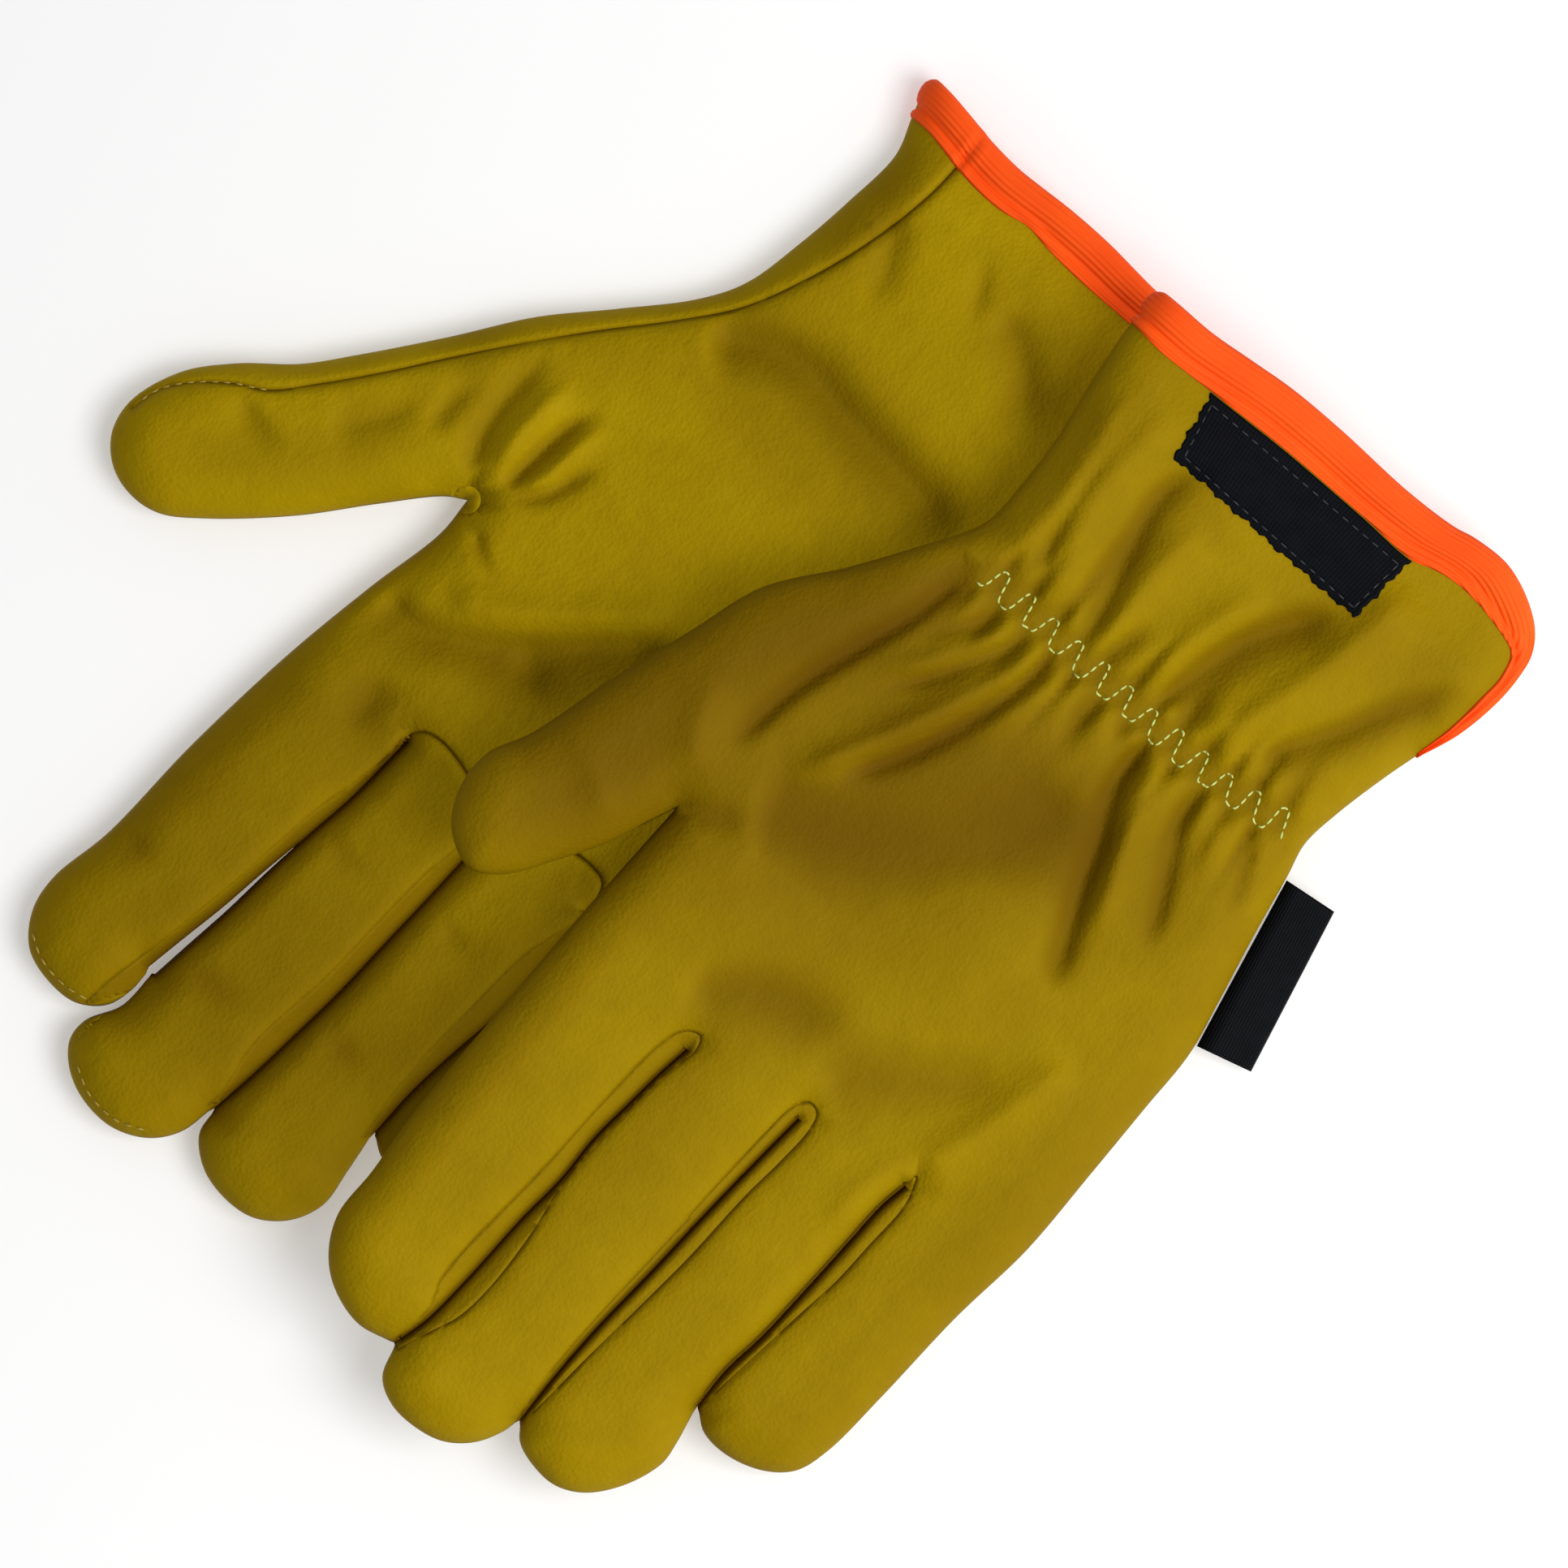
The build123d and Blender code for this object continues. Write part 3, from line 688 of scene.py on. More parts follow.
def gathers(points):
    """The back drawn in along the elastic, and a pucker running out from every tooth."""
    line = smooth(STITCH_LINE, 1.5)
    gap, side, at = nearest(points, line)
    before, after = at, travelled(line)[-1] - at
    ends = unit(before / WAIST_ENDS + 0.5) * unit(after / WAIST_ENDS + 0.5)
    waist = -WAIST_DEPTH * bell(gap / WAIST_WIDTH)
    reach = np.where(side > 0, *PUCKER_REACH)
    phase = np.pi * (at / TOOTH_LENGTH - np.where(side > 0, *PUCKER_PHASE)) + 0.2 * np.sin(at * 0.31)
    wave = 2 * np.abs(np.cos(phase)) ** 0.8 - 1.2
    pucker = PUCKER_HEIGHT * wave * unit((gap - 1) / 3) * bell(gap / reach)
    uneven = 1 + 0.35 * np.sin(at * 0.77 + 1)
    tuck = TUCK_HEIGHT * np.cos(2 * np.pi * at / TOOTH_LENGTH) * bell(gap / TUCK_WIDTH)
    return ends * (waist + pucker * uneven + tuck)


def left_middle(points):
    return LEFT_HEIGHT - tan(TILT) * points[:, 0]


def right_middle(points):
    return np.full(len(points), RIGHT_HEIGHT)


def on_leather(glove, path, upper=True):
    """Plan points put on a sheet's outer face."""
    path = np.asarray(path, float)
    return np.column_stack([path, glove.height(path, upper)[0]])


# ------------------------------------------------------------------ meshes


def ring_runs(border, gap_of, offset):
    """Rows of points at one distance inside the border, broken where they meet another part."""
    along = np.roll(border, -1, axis=0) - np.roll(border, 1, axis=0)
    inward = np.stack([-along[:, 1], along[:, 0]], 1) / (np.linalg.norm(along, axis=1)[:, None] + 1e-9)
    row = border + inward * offset
    good = gap_of(row) > offset - ROW_SLACK
    runs, run = [], []
    for point, keep in zip(row, good):
        if keep and run and np.linalg.norm(point - run[-1]) > ROW_BREAK:
            runs.append(run)
            run = []
        if keep:
            if not run or np.linalg.norm(point - run[-1]) > ROW_SPACE:
                run.append(point)
        elif run:
            runs.append(run)
            run = []
    return [r for r in runs + [run] if len(r) > 2]


def triangulate(border, lines):
    """Triangles over the plan inside border, with edges along the given lines."""
    closed = np.vstack([border, border[:1]])
    gap_of = lambda points: np.where(inside(points, border), nearest(points, closed)[0], -1)
    coords, edges = [], []

    def add(path, loop=False):
        first = len(coords)
        coords.extend(map(tuple, path))
        count = len(path)
        edges.extend((first + i, first + i + 1) for i in range(count - 1))
        if loop:
            edges.append((first + count - 1, first))

    add(border, loop=True)
    for line in lines:
        add(line[gap_of(line) > LINE_INSET])
    for offset in RINGS:
        for run in ring_runs(border, gap_of, offset):
            add(run)
    low, high = border.min(0), border.max(0)
    rows = np.arange(low[1], high[1], MESH_ROW)
    grid = np.array([
        (x + (k % 2) * MESH_STEP / 2, y)
        for k, y in enumerate(rows) for x in np.arange(low[0], high[0], MESH_STEP)
    ])
    grid = grid[inside(grid, border)]
    grid = grid[nearest(grid, closed)[0] > RINGS[-1] + MESH_STEP * GRID_CLEAR]
    for line in lines:
        grid = grid[nearest(grid, line)[0] > MESH_STEP * LINE_CLEAR]
    coords.extend(map(tuple, grid))
    verts, _, faces, *_ = delaunay_2d_cdt([Vector(c) for c in coords], edges, [], 1, 1e-5, False)
    verts, faces = np.array([tuple(v) for v in verts]), np.array([f for f in faces if len(f) == 3])
    return verts, faces[inside(verts[faces].mean(1), border)]


def make_object(name, verts, faces, *materials, tones=None, uvs=None):
    """A mesh object from millimetre vertices."""
    mesh = bpy.data.meshes.new(name)
    corners = [tuple(int(i) for i in face) for face in faces]
    mesh.from_pydata([tuple(v) for v in np.asarray(verts) * MM], [], corners)
    mesh.update()
    mesh.shade_smooth()
    for material in materials:
        mesh.materials.append(material)
    if tones is not None:
        # The depth attribute carries the shade painted on the leather
        layer = mesh.attributes.new("depth", "FLOAT", "POINT")
        layer.data.foreach_set("value", np.asarray(tones, float))
    if uvs is not None:
        layer = mesh.uv_layers.new(name="tape")
        corners = np.array([loop.vertex_index for loop in mesh.loops])
        layer.data.foreach_set("uv", np.asarray(uvs, float)[corners].ravel())
    obj = bpy.data.objects.new(name, mesh)
    bpy.context.scene.collection.objects.link(obj)
    return obj


def apply_modifiers(obj):
    """Bakes an object's modifiers into its mesh."""
    baked = bpy.data.meshes.new_from_object(obj.evaluated_get(bpy.context.evaluated_depsgraph_get()))
    obj.modifiers.clear()
    obj.data = baked


def thicken(obj, thickness):
    """Gives a sheet its thickness, its other face in the second material if there is one."""
    shell = obj.modifiers.new("thickness", "SOLIDIFY")
    shell.thickness = thickness * MM
    shell.offset = -1
    shell.material_offset = len(obj.data.materials) - 1
    apply_modifiers(obj)
    obj.data.shade_smooth()


def join_sheets(name, sheets, *materials):
    """One panel from its pieces of the two sheets; each is (points, painted shade, triangles)."""
    verts, tones, faces, first = [], [], [], 0
    for points, tone, triangles in sheets:
        if len(triangles):
            used, flat = np.unique(triangles, return_inverse=True)
            verts.append(points[used])
            tones.append(tone[used])
            faces.append(flat.reshape(triangles.shape) + first)
            first += len(used)
    tones = np.concatenate(tones)
    obj = make_object(name, np.vstack(verts), np.vstack(faces), *materials, tones=tones)
    work = bmesh.new()
    work.from_mesh(obj.data)
    bmesh.ops.remove_doubles(work, verts=work.verts, dist=WELD * MM)
    work.to_mesh(obj.data)
    work.free()
    thicken(obj, LEATHER)
    return obj


def loft(name, rings, material, uvs=None):
    """A closed skin through rings of points, capped at both ends."""
    rings = np.asarray(rings, float)
    count, around = rings.shape[:2]
    ring = np.arange(around)
    ahead = (ring + 1) % around
    faces = [
        face for first in range(0, (count - 1) * around, around)
        for face in zip(first + ring, first + ahead, first + around + ahead, first + around + ring)
    ]
    caps = [list(range(around))[::-1], [(count - 1) * around + j for j in range(around)]]
    return make_object(name, rings.reshape(-1, 3), faces + caps, material, uvs=uvs)


def threads(name, paths, radius, material, sides=6):
    """Short lengths of thread, each a tapered tube along its path."""
    verts, faces = [], []
    turn = np.linspace(0, 2 * np.pi, sides, endpoint=False)
    for path in paths:
        path = np.asarray(path, float)
        along = np.gradient(path, axis=0)
        along /= np.linalg.norm(along, axis=1)[:, None]
        across = np.cross(along, (0, 0, 1))
        across /= np.linalg.norm(across, axis=1)[:, None] + 1e-9
        up = np.cross(across, along)
        taper = np.sin(np.linspace(0.12, np.pi - 0.12, len(path))) ** 0.35
        first = len(verts)
        for point, side, lift, size in zip(path, across, up, taper * radius):
            verts.extend(point + size * (cos(a) * side + sin(a) * lift) for a in turn)
        for i in range(len(path) - 1):
            for j in range(sides):
                a, b = first + i * sides + j, first + i * sides + (j + 1) % sides
                faces.append((a, b, b + sides, a + sides))
        faces.append([first + j for j in range(sides)][::-1])
        faces.append([first + (len(path) - 1) * sides + j for j in range(sides)])
    return make_object(name, verts, faces, material)


def stitched(glove, way, length, space, arch):
    """Stitches laid on the leather along a way in plan."""
    way = resample(np.asarray(way, float), 0.1)
    total = travelled(way)[-1]
    count = max(1, int((total + space) / (length + space)))
    pitch = (total + space) / count
    placed, reach = on_leather(glove, way), travelled(way)
    paths = []
    for k in range(count):
        at = np.linspace(k * pitch, k * pitch + pitch - space, STITCH_POINTS)
        path = read_at(at, reach, placed)
        path[:, 2] += arch * np.sin(np.linspace(0, np.pi, STITCH_POINTS)) + STITCH_LIFT
        paths.append(path)
    return paths


# ------------------------------------------------------------------ materials


def linear(*srgb):
    """An sRGB colour from 0 to 255 as linear values."""
    return tuple(((c / 255 + 0.055) / 1.055) ** 2.4 if c > 10 else c / 255 / 12.92 for c in srgb)


class Shader:
    """A small helper for node materials."""

    def __init__(self, name, place="Object"):
        self.material = bpy.data.materials.new(name)
        self.material.use_nodes = True
        self.tree = self.material.node_tree
        self.surface = self.tree.nodes["Principled BSDF"]
        self.place = self.node("ShaderNodeTexCoord").outputs[place]

    def feed(self, socket, value):
        """Sets an input, or links it if the value is another node's output."""
        if isinstance(value, bpy.types.NodeSocket):
            self.tree.links.new(value, socket)
        else:
            socket.default_value = value

    def node(self, kind, **values):
        made = self.tree.nodes.new(kind)
        for key, value in values.items():
            if key in made.inputs:
                self.feed(made.inputs[key], value)
            else:
                setattr(made, key, value)
        return made

    def noise(self, per_metre, detail=3.0, rough=0.5, stretch=None):
        place = self.place
        if stretch:
            place = self.node("ShaderNodeMapping", Vector=place, Scale=stretch).outputs["Vector"]
        made = self.node("ShaderNodeTexNoise", Vector=place, Scale=per_metre, Detail=detail, Roughness=rough)
        return made.outputs["Fac"]

    def wave(self, per_metre, direction):
        scale = per_metre / 20 * 2 * np.pi
        made = self.node("ShaderNodeTexWave", Vector=self.place, Scale=scale, bands_direction=direction)
        return made.outputs["Fac"]

    def attribute(self, name):
        return self.node("ShaderNodeAttribute", attribute_name=name).outputs["Fac"]

    def ramp(self, value, *stops):
        made = self.node("ShaderNodeValToRGB", Fac=value)
        while len(made.color_ramp.elements) < len(stops):
            made.color_ramp.elements.new(0.5)
        for element, (at, colour) in zip(made.color_ramp.elements, stops):
            element.position = at
            element.color = (*colour, 1)
        return made.outputs["Color"]

    def mix(self, share, one, other, how="MIX"):
        made = self.node("ShaderNodeMix", data_type="RGBA", blend_type=how)
        for number, value in ((0, share), (6, one), (7, other)):
            self.feed(made.inputs[number], value)
        return made.outputs[2]

    def bump(self, value, height, strength=1.0, normal=None):
        made = self.node("ShaderNodeBump", Height=value, Distance=height * MM, Strength=strength)
        if normal is not None:
            self.feed(made.inputs["Normal"], normal)
        return made.outputs["Normal"]

    def set(self, **values):
        for key, value in values.items():
            self.feed(self.surface.inputs[key.replace("_", " ")], value)
        return self.material


def leather_material(name, dark, light, rough):
    """Soft smooth-grain leather, with painted shade: a darker brown mixed in where it is folded or lies in
    shade.
    """
    shader = Shader(name)
    patches = shader.ramp(shader.noise(22, 4, 0.6), (0.32, linear(*dark)), (0.68, linear(*light)))
    mottle = shader.ramp(shader.noise(160, 5, 0.65), (0.3, (0.93, 0.92, 0.9)), (0.7, (1.03, 1.03, 1.03)))
    plain = shader.mix(1.0, patches, mottle, "MULTIPLY")
    # Painted shade: the depth attribute mixes in a dark brown where the leather lies in shade
    painted_shade_share = shader.node("ShaderNodeMath", operation="MULTIPLY")
    shader.feed(painted_shade_share.inputs[0], shader.attribute("depth"))
    shader.feed(painted_shade_share.inputs[1], PAINTED_SHADE_MIX)
    colour = shader.mix(painted_shade_share.outputs[0], plain, (*linear(86, 58, 0), 1))
    pores = shader.node("ShaderNodeTexVoronoi", Vector=shader.place, Scale=1250.0).outputs["Distance"]
    grain = shader.bump(pores, 0.14, 0.6)
    wrinkles = shader.bump(shader.noise(210, 6, 0.62, (1.0, 0.55, 1.0)), 0.6, 0.6, grain)
    return shader.set(Base_Color=colour, Roughness=rough, Normal=wrinkles, Specular_IOR_Level=0.03)


def tape_material():
    """Ribbed fluorescent binding tape; its texture runs along the tape."""
    shader = Shader("binding", "UV")
    fade = shader.ramp(shader.noise(40, 3), (0.3, linear(236, 70, 0)), (0.7, linear(248, 86, 4)))
    ribs = shader.bump(shader.wave(950, "Y"), 0.22, 0.8)
    knit = shader.bump(shader.wave(2600, "X"), 0.05, 0.4, ribs)
    return shader.set(Base_Color=fade, Roughness=0.75, Normal=knit, Specular_IOR_Level=0.2)


def woven_material(name, colour, light, rough, per_metre, place="UV"):
    """A fine plain weave."""
    shader = Shader(name, place)
    tint = shader.ramp(shader.noise(300, 4), (0.3, linear(*colour)), (0.75, linear(*light)))
    warp = shader.bump(shader.wave(per_metre, "X"), 0.12, 0.6)
    weft = shader.bump(shader.wave(per_metre * 0.8, "Y"), 0.1, 0.6, warp)
    return shader.set(Base_Color=tint, Roughness=rough, Normal=weft, Specular_IOR_Level=0.06)


def thread_material(name, colour):
    shader = Shader(name)
    lighter = linear(*(min(255, c + 18) for c in colour))
    tint = shader.ramp(shader.noise(900, 2), (0.3, linear(*colour)), (0.7, lighter))
    twist = shader.bump(shader.wave(2200, "DIAGONAL"), 0.06, 0.6)
    return shader.set(Base_Color=tint, Roughness=0.6, Normal=twist)


# ------------------------------------------------------------------ leather panels

PANELS = (
    "back_panel", "palm_panel", "middle_finger_front", "ring_finger_front", "index_middle_fourchette",
    "middle_ring_fourchette", "ring_little_fourchette", "thumb_gusset",
)
BACK, PALM, MIDDLE_FRONT, FIRST_FOURCHETTE, GUSSET = 0, 1, 2, 4, 7
GUSSET_REACH = 7.5
GUSSET_SHOWN = 2.6  # on the upper sheet
FOURCHETTE_REACH = 2.8  # of the side strips onto the sheet where they don't show
THUMB_FROM, THUMB_REACH = -52, 16  # of the back panel, where it wraps round the right thumb


def panel_numbers(glove, centres, palm_side, fingers, roots, crotch, thumb_seam):
    """Which panel each triangle of one sheet belongs to."""
    edge = glove.gap(centres, "edge")
    slits = np.stack([nearest(centres, path)[0] for path in glove.stretches["slit"]])
    numbers = np.full(len(centres), PALM if palm_side else BACK)
    upper = palm_side == (glove.name == "right")
    if palm_side:
        for k, corners in enumerate(fingers):
            root = smooth(roots[k])
            beyond = np.vstack([root, corners[2:], [root[0]]])
            numbers[inside(centres, corners) & inside(centres, beyond)] = MIDDLE_FRONT + k
        if thumb_seam is None:
            numbers[edge < SEAM_INSET] = BACK
        else:
            seam = smooth(thumb_seam)
            _, side, at = nearest(centres, seam)
            on_thumb = (centres[:, 0] < THUMB_FROM) & (side < 0) & (edge < THUMB_REACH)
            on_thumb &= (at > 0) & (at < travelled(seam)[-1])
            little = glove.stretches["edge"][-1]
            along_palm = (nearest(centres, little)[0] < SEAM_INSET) & (centres[:, 0] > 0)
            numbers[on_thumb | along_palm] = BACK
    if upper:
        for k, (seam, back, _, _) in enumerate(glove.strips):
            numbers[inside(centres, np.vstack([smooth(seam), smooth(back)]))] = FIRST_FOURCHETTE + k
    else:
        for k in range(3):
            numbers[slits[k] < FOURCHETTE_REACH] = FIRST_FOURCHETTE + k
    reach = GUSSET_REACH if not upper else GUSSET_SHOWN if palm_side else 0
    numbers[np.linalg.norm(centres - crotch, axis=1) < reach] = GUSSET
    return numbers


def build_leather(glove, fingers, roots, crotch, thumb_seam, outer, inner):
    """All leather panels of a glove."""
    lines = [path for path, _ in glove.seams()]
    lines += [shifted(path, side * SEAM_ROW) for path in lines for side in (-1, 1)]
    turn = np.linspace(0, 2 * np.pi, 60)
    circle = np.column_stack([np.cos(turn), np.sin(turn)])
    lines += [np.array(crotch) + reach * circle for reach in (GUSSET_SHOWN, GUSSET_REACH)]
    flat, triangles = triangulate(glove.border, lines + [smooth(r) for r in roots])
    centres = flat[triangles].mean(1)
    pressed = flat.copy()
    for path in glove.stretches["slit"]:
        gap, _, at = nearest(flat, path)
        on_slit = gap < 1e-3
        pressed[on_slit] = read_at(at[on_slit], travelled(path), shifted(path, -SLIT_LAP))
    palm_up = glove.name == "right"
    sheets = []
    for upper in (True, False):
        high, tone = glove.height(flat, upper)
        seam = thumb_seam if upper else None
        numbers = panel_numbers(glove, centres, upper == palm_up, fingers, roots, crotch, seam)
        faces = triangles if upper else triangles[:, ::-1]
        sheets.append((np.column_stack([pressed, high]), tone, faces, numbers))
    for number, panel in enumerate(PANELS):
        pieces = [(points, tone, faces[numbers == number]) for points, tone, faces, numbers in sheets]
        obj = join_sheets(f"{glove.name}_{panel}_leather", pieces, outer, inner)
        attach(obj, f"{glove.name}_glove")
        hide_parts(f"{glove.name}_{panel}")


# ------------------------------------------------------------------ trim

# Section of the folded tape: share of the way from its outer to its inner edge, and height
# above the leather's outer face; from the inner edge over the fold to the lower inner edge.
BELOW = -(LEATHER + TAPE_AIR)
TAPE_EDGE = -0.7  # height of the fold
TAPE_SECTION = np.array([
    (1.0, 0.35), (0.99, 0.75), (0.94, 0.95), (0.86, 0.9), (0.79, 0.45), (0.74, 0.25), (0.69, 0.5), (0.6, 1.1),
    (0.46, 1.4), (0.3, 1.4), (0.16, 1.1), (0.06, 0.4), (0.01, -0.3), (0.0, TAPE_EDGE), (0.02, -1.2),
    (0.08, -1.75), (0.18, -2.05),
    (0.5, BELOW - TAPE), (0.98, BELOW - TAPE), (1.0, BELOW - TAPE / 2), (0.98, BELOW), (0.5, BELOW),
    (0.24, BELOW), (0.17, -0.6), (0.24, TAPE_AIR), (0.5, TAPE_AIR), (0.98, TAPE_AIR),
])
TAPE_ROWS = np.linspace(0, 1, 5)  # across the tape
VENT_TAPER = 9.0


def tape_rows(glove, hem, upper):
    """Outer to inner points of the tape on one sheet, row by row from the thumb side."""
    outer, inner = (smooth(path, 0.7) for path in hem)
    share = np.linspace(0, 1, 500)
    outer, inner = (read_at(share, travelled(p) / travelled(p)[-1], p) for p in (outer, inner))
    rows = []
    for part in TAPE_ROWS:
        plan = outer + part * (inner - outer)
        swell = glove.swell(plan, False)[0]
        high = glove.height(plan, upper)[0]
        corner = PALM_RISE * rise(travelled(plan), EDGE_ROUND)
        thin = np.minimum(corner / (swell + 1e-3), 1)
        middle = glove.middle(plan)
        rows.append(np.column_stack([plan, middle + (high - middle) * thin]))
    return np.stack(rows, 1)


def build_binding(glove, hem, material):
    """The folded tape round the mouth, from the vent's end up, round and back down."""
    over, under = tape_rows(glove, hem, True), tape_rows(glove, hem, False)
    rows = np.vstack([over[::-1], under[1:]])
    way = travelled(rows[:, 0])
    at = np.linspace(0, way[-1], int(way[-1] / TAPE_STEP))
    rows = read_at(at, way, rows.reshape(len(rows), -1)).reshape(len(at), len(TAPE_ROWS), 3)
    taper = unit(np.minimum(at, at[-1] - at) / VENT_TAPER) ** 0.7
    outward = np.cross(rows[:, -1] - rows[:, 0], np.gradient(rows[:, 0], axis=0))
    outward /= np.linalg.norm(outward, axis=1)[:, None]
    if outward[len(at) // 4, 2] < 0:
        outward = -outward
    rings, uvs = [], []
    share, level = TAPE_SECTION.T
    for row, normal, size, s in zip(rows, outward, TAPE_END + (1 - TAPE_END) * taper, at):
        rings.append(read_at(share, TAPE_ROWS, row) + normal * (level * size)[:, None])
        across = share * np.linalg.norm(row[-1] - row[0]) * np.where(level > TAPE_EDGE, 1, -1)
        uvs.extend(np.column_stack([np.full(len(share), s), across]) * MM)
    obj = loft(f"{glove.name}_binding_tape", rings, material, uvs=uvs)
    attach(obj, f"{glove.name}_glove")
    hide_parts(f"{glove.name}_cuff_binding")


def build_zigzag(glove, material):
    """The elastic's zigzag stitch across the wrist."""
    line = smooth(STITCH_LINE, 0.5)
    way = travelled(line)
    teeth = int(way[-1] / TOOTH_LENGTH)
    steps = [
        ((k + along) * TOOTH_LENGTH, across * TOOTH_REACH * (1 + 0.1 * sin(1.9 * k)))
        for k in range(teeth) for along, across in TOOTH
    ]
    at, off = np.array(steps).T
    base = read_at(at, way, line)
    path = smooth(shifted(base, 1) * off[:, None] + base * (1 - off[:, None]), 0.2)
    made = threads("zigzag_stitch", stitched(glove, path, *ZIGZAG_STITCH), THREAD, material)
    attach(made, "left_glove")


ELASTIC_WIDTH, ELASTIC_THICK, ELASTIC_RUCK = 6.0, 0.8, 0.25
ELASTIC_AIR = 0.35  # to the leather


def build_elastic(glove, line, upper, material):
    """The elastic strip inside the back, rucked where it is sewn on."""
    line = smooth(line, 0.8)
    rings, sign = [], 1 if upper else -1
    edges = [on_leather(glove, shifted(line, across * ELASTIC_WIDTH / 2), upper) for across in (-1, 0, 1)]
    for k, (low, middle, high) in enumerate(zip(*edges)):
        depth = LEATHER + ELASTIC_AIR + ELASTIC_RUCK * (1 + sin(2 * np.pi * k / 5))
        under = [point - (0, 0, sign * depth) for point in (low, middle, high)]
        below = [point - (0, 0, sign * (depth + ELASTIC_THICK)) for point in (high, middle, low)]
        rings.append(under + below)
    strip = loft(f"{glove.name}_elastic_strip", rings, material)
    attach(strip, f"{glove.name}_glove")
    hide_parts(f"{glove.name}_wrist_elastic")


# Woven label: corners in plan, from the thumb side along the binding and back
LABEL_CORNERS = [(10.2, 104.9), (58.2, 106.9), (57.3, 92.6), (13.1, 91.9)]
LABEL_THICK = 0.6
LABEL_GRID = 110, 34
LABEL_SPAN = 46, 13  # length and height, for the distance to its edge
LABEL_WEAVE = 46, 14  # what its weave covers
LABEL_WAVES = 9
LABEL_EDGE = ((0.22, 1.0), (0.16, 2.3), (0.12, 0.43), (0.07, 4.1))  # unevenness: size and pace
LABEL_SIDE, LABEL_LOW = 0.05, 0.15  # shares that its uneven sides and lower edge reach inwards
LABEL_GAP = 0.15  # to the binding
LABEL_LIFT = 0.12  # off the leather
EDGE_DROP, EDGE_DROP_WIDTH = 0.25, 0.5  # of its rim
SEWN_DIP, SEWN_DIP_WIDTH, SEWN_AT = 0.12, 0.35, 1.3  # where it is sewn on
SEWN_IN = (0.06, 0.2)  # of the stitches, as shares of the way to its middle
SEWN_LIFT = 0.1


def build_label(glove, material, thread):
    """The bare black label below the binding, with an uneven overlocked edge."""
    a, b, c, d = (np.array(p) for p in LABEL_CORNERS)
    columns, rows = LABEL_GRID
    u, v = np.meshgrid(np.linspace(0, 1, columns), np.linspace(0, 1, rows))
    rim = lambda x: sum(
        size * np.sin(x * 2 * np.pi * LABEL_WAVES * pace + pace) for size, pace in LABEL_EDGE
    )
    plan = (
        (1 - u)[..., None] * ((1 - v)[..., None] * a + v[..., None] * d)
        + u[..., None] * ((1 - v)[..., None] * b + v[..., None] * c)
    )
    low_edge = unit(1 - (1 - v) / LABEL_LOW)
    sides = unit(1 - u / LABEL_SIDE) - unit(1 - (1 - u) / LABEL_SIDE)
    under_tape = smooth(LEFT_HEM[1])
    reach = np.interp(plan[0, :, 0], under_tape[:, 0], under_tape[:, 1]) - LABEL_GAP - plan[0, :, 1]
    plan[..., 1] += reach * (1 - v) - rim(u) * low_edge
    plan[..., 0] += rim(v * 0.33 + 0.2) * sides
    plan = plan.reshape(-1, 2)
    placed = on_leather(glove, plan)
    inset = (np.minimum(s, 1 - s).ravel() * span for s, span in zip((u, v), LABEL_SPAN))
    rim_gap = np.minimum(*inset)
    placed[:, 2] += LABEL_LIFT + LABEL_THICK - EDGE_DROP * bell(rim_gap / EDGE_DROP_WIDTH)
    placed[:, 2] -= SEWN_DIP * bell((rim_gap - SEWN_AT) / SEWN_DIP_WIDTH)
    faces = [
        (j * columns + i, (j + 1) * columns + i, (j + 1) * columns + i + 1, j * columns + i + 1)
        for j in range(rows - 1) for i in range(columns - 1)
    ]
    uvs = np.column_stack([u.ravel(), v.ravel()]) * LABEL_WEAVE * MM
    label = make_object("bare_label", placed, faces, material, uvs=uvs)
    thicken(label, LABEL_THICK)
    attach(label, "left_glove")
    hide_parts("left_back_label")
    stitches = []
    middle = (a + b + c + d) / 4
    for p, q in ((a, b), (b, c), (c, d), (d, a)):
        p, q = p + (middle - p) * SEWN_IN, q + (middle - q) * SEWN_IN
        for path in stitched(glove, [p, (p + q) / 2, q], *LABEL_STITCH):
            path[:, 2] += LABEL_THICK + SEWN_LIFT
            stitches.append(path)
    sewn = threads("label_stitches", stitches, LABEL_THREAD, thread, sides=5)
    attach(sewn, "left_glove")


# Folded tag: root and free edge in plan, each from the cuff's end
TAG_ROOT = [(80.7, 48.8), (88.9, 15.0)]
TAG_FREE = [(91.2, 50.4), (99.6, 18.2)]
TAG_THICK = 1.0
TAG_WIDTH = 11  # folded
TAG_FLARE = 0.25  # of its free edge, up and down


def build_tag(material):
    """The bare folded satin tag: two leaves that meet in a fold at the free edge."""
    rings, uvs = [], []
    root, free = (np.array(p, float) for p in (TAG_ROOT, TAG_FREE))
    length = np.linalg.norm(root[1] - root[0])
    half = TAG_THICK / 2
    section = [
        (0, half), (0.3, half + 0.06), (0.6, half + 0.05), (0.9, half + 0.02), (0.97, half * 0.85), (1, 0),
        (0.97, -half * 0.85), (0.9, -half), (0.5, -half), (0, -half), (0, -0.06), (0.5, -0.05), (0.88, -0.04),
        (0.88, 0.04), (0.5, 0.05), (0, 0.06),
    ]
    for share in np.linspace(0, 1, 44):
        inner = root[0] + share * (root[1] - root[0])
        outer = free[0] + share * (free[1] - free[0])
        flare = TAG_FLARE * sin(share * 5 + 1)
        ring = []
        for out, lift in section:
            plan = inner + out * (outer - inner)
            ring.append((*plan, left_middle(plan[None])[0] + lift + flare * out**2))
            uvs.append((share * length * MM, out * TAG_WIDTH * MM))
        rings.append(ring)
    tag = loft("bare_tag", rings, material, uvs=uvs)
    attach(tag, "left_tag")
    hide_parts("left_side_tag")


# ------------------------------------------------------------------ build

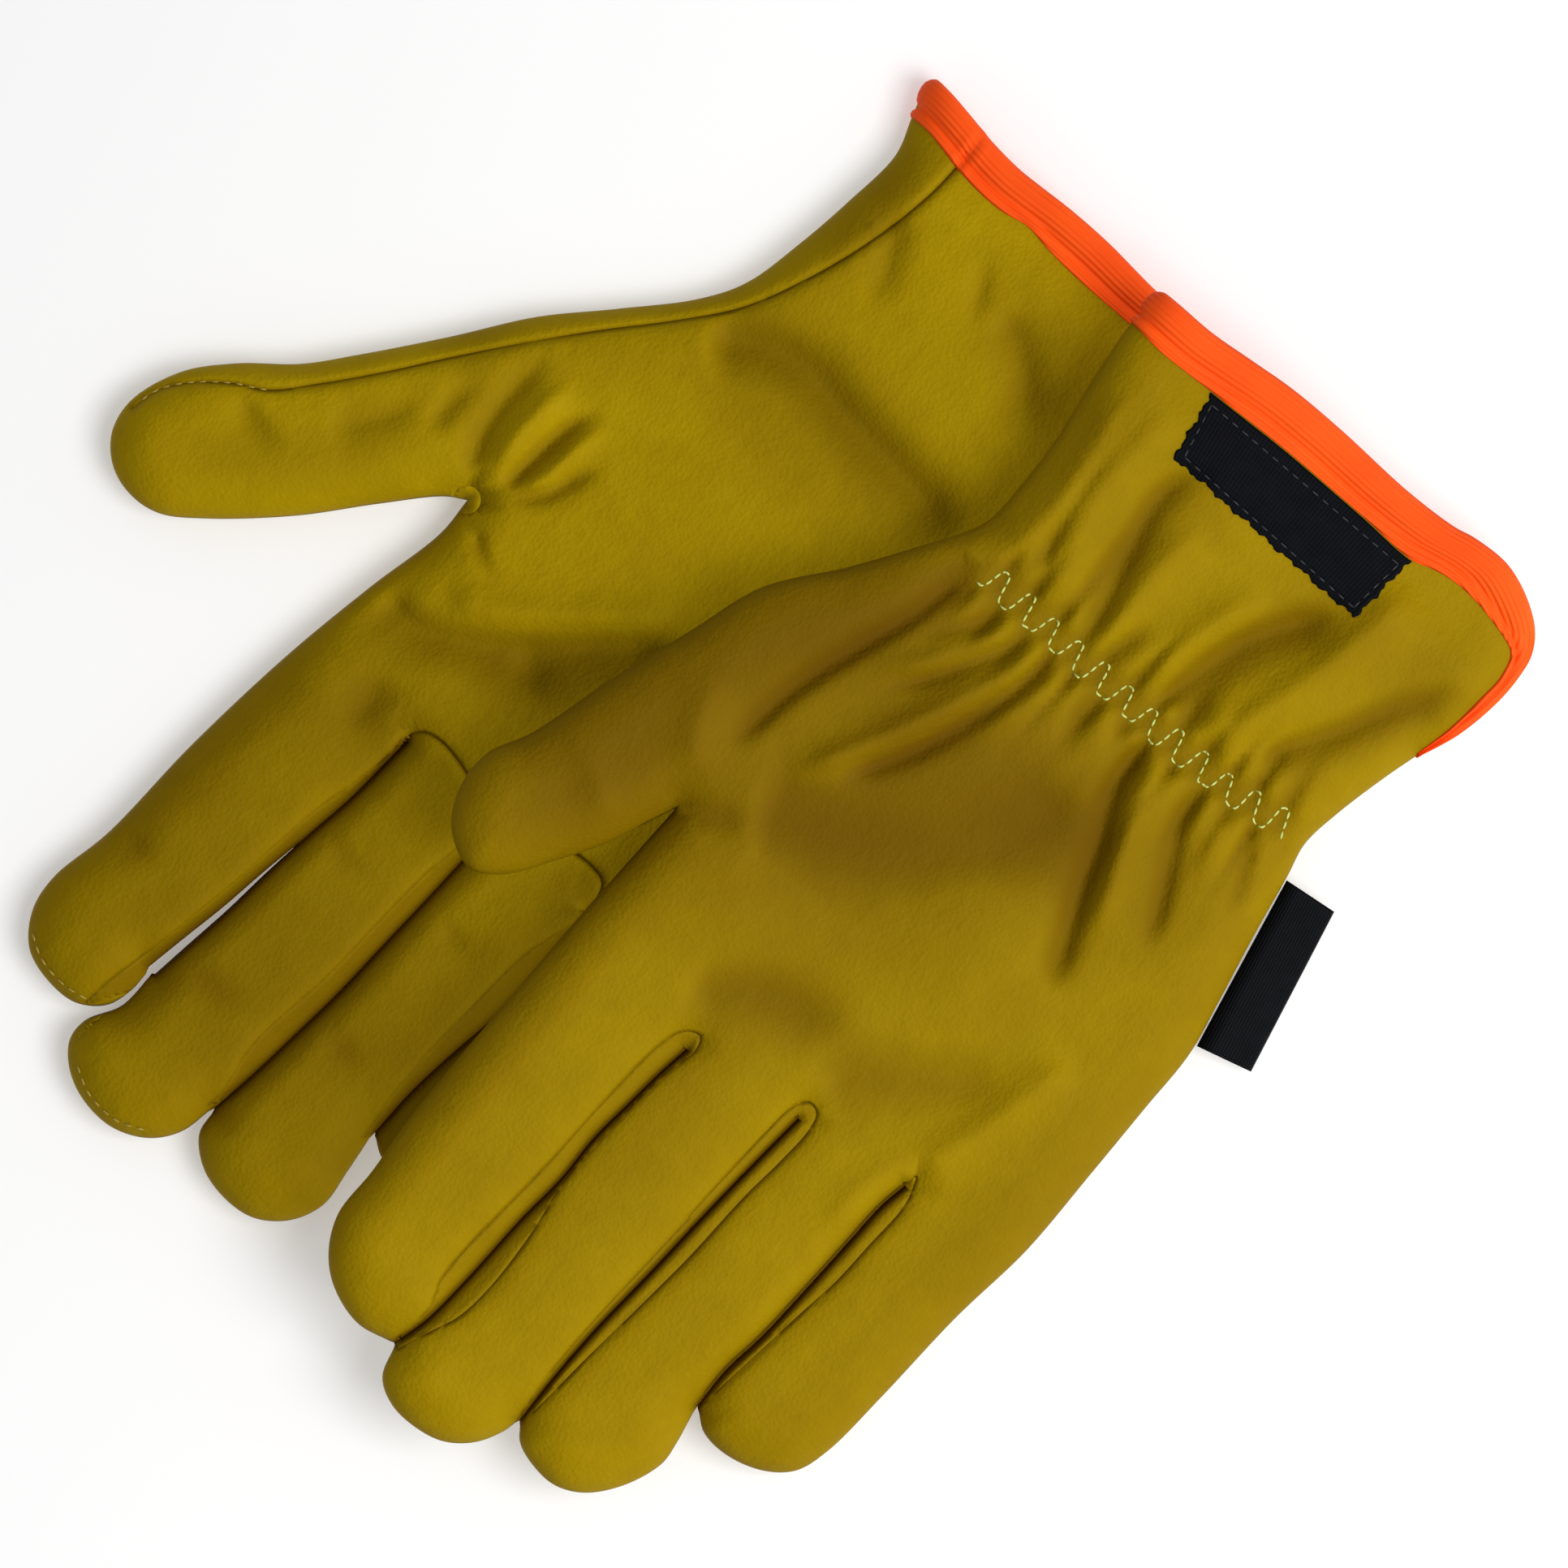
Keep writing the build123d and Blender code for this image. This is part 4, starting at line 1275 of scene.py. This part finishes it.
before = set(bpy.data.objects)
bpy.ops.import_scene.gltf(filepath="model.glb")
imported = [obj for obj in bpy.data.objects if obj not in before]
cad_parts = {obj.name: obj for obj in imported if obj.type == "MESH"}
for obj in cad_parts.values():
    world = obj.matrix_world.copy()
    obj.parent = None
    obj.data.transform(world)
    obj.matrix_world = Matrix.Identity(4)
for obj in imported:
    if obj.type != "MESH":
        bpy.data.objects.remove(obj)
size_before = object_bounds()

leather = leather_material("leather", (146, 120, 1), (158, 132, 2), 0.65)
suede = leather_material("leather_inside", (150, 128, 60), (172, 148, 80), 0.9)
tape = tape_material()
label_weave = woven_material("label", (4, 5, 8), (9, 10, 15), 0.75, 1400)
satin = woven_material("tag", (4, 5, 8), (9, 10, 14), 0.5, 2200)
elastic = woven_material("elastic", (190, 186, 160), (214, 210, 188), 0.8, 700, "Object")
pale_thread = thread_material("pale_thread", (170, 180, 88))
leather_thread = thread_material("leather_thread", (140, 118, 20))
black_thread = thread_material("black_thread", (14, 15, 20))

right = Glove(
    "right", RIGHT_OUTLINE, RIGHT_STRIPS, right_middle, RIGHT_FOLDS, RIGHT_BUMPS, RIGHT_PAINTED_SHADE,
    [THUMB_SEAM, *RIGHT_ROOTS],
)
left = Glove("left", LEFT_OUTLINE, LEFT_STRIPS, left_middle, LEFT_FOLDS, LEFT_BUMPS, LEFT_PAINTED_SHADE, [])

build_leather(right, RIGHT_FINGERS, RIGHT_ROOTS, (-78.4, -0.2), THUMB_SEAM, leather, suede)
build_leather(left, LEFT_FINGERS, LEFT_ROOTS, (-11.7, -16.5), None, leather, suede)
build_binding(right, RIGHT_HEM, tape)
build_binding(left, LEFT_HEM, tape)
build_zigzag(left, pale_thread)
build_label(left, label_weave, black_thread)

build_tag(satin)

# Stitches that show on the right glove: round the thumb's tip and at two fingertips
tip_seams = [
    smooth(THUMB_SEAM)[-34:-3],
    smooth([(-84.5, -113), (-80, -115.4), (-74, -116.2), (-69, -115.4)]),
    smooth([(-62, -125.6), (-57, -128), (-50, -128.3), (-45, -126.2)]),
]
tip_stitches = [path for seam in tip_seams for path in stitched(right, seam, *TIP_STITCH)]
sewn = threads("tip_stitches", tip_stitches, TIP_THREAD, leather_thread)
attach(sewn, "right_glove")

build_elastic(left, [(6, 53.6), (40, 53.3), (69, 54.6)], True, elastic)
build_elastic(right, [(-56, 54.5), (-25, 54.5), (7, 54.5)], False, elastic)

# ------------------------------------------------------------------ camera, light and table

scene = bpy.context.scene
scene.view_settings.view_transform = "Standard"
low, high = (Vector(v) for v in size_before)
target = (low + high) / 2 + Vector((*CAMERA_SHIFT, 0)) * MM
lens = bpy.data.cameras.new("camera")
lens.lens = lens.sensor_width * CAMERA_HEIGHT / PICTURE_WIDTH
camera = bpy.data.objects.new("camera", lens)
camera.location = (target.x, target.y, CAMERA_HEIGHT * MM)
camera.rotation_euler = (0, 0, TURN)
scene.collection.objects.link(camera)
scene.camera = camera

world = bpy.data.worlds.new("world")
world.use_nodes = True
world.node_tree.nodes["Background"].inputs["Color"].default_value = (1, 1, 1, 1)
world.node_tree.nodes["Background"].inputs["Strength"].default_value = ROOM_LIGHT
scene.world = world

corners = [(x, y, 0) for x, y in ((-TABLE, -TABLE), (TABLE, -TABLE), (TABLE, TABLE), (-TABLE, TABLE))]
table_surface = Shader("table").set(Base_Color=(0.93, 0.93, 0.93, 1), Roughness=1.0, Specular_IOR_Level=0.0)
table = make_object("table", corners, [(0, 1, 2, 3)], table_surface)

for name, power, size, place in (
    ("key", KEY_POWER, KEY_SIZE, KEY_FROM), ("raking", RAKING_POWER, RAKING_SIZE, RAKING_FROM),
):
    lamp = bpy.data.lights.new(name, "AREA")
    lamp.energy, lamp.size = power, size
    lamp.use_shadow = name == "key"
    light = bpy.data.objects.new(name, lamp)
    light.location = target + Vector(place)
    light.rotation_euler = (target - light.location).to_track_quat("-Z", "Y").to_euler()
    scene.collection.objects.link(light)
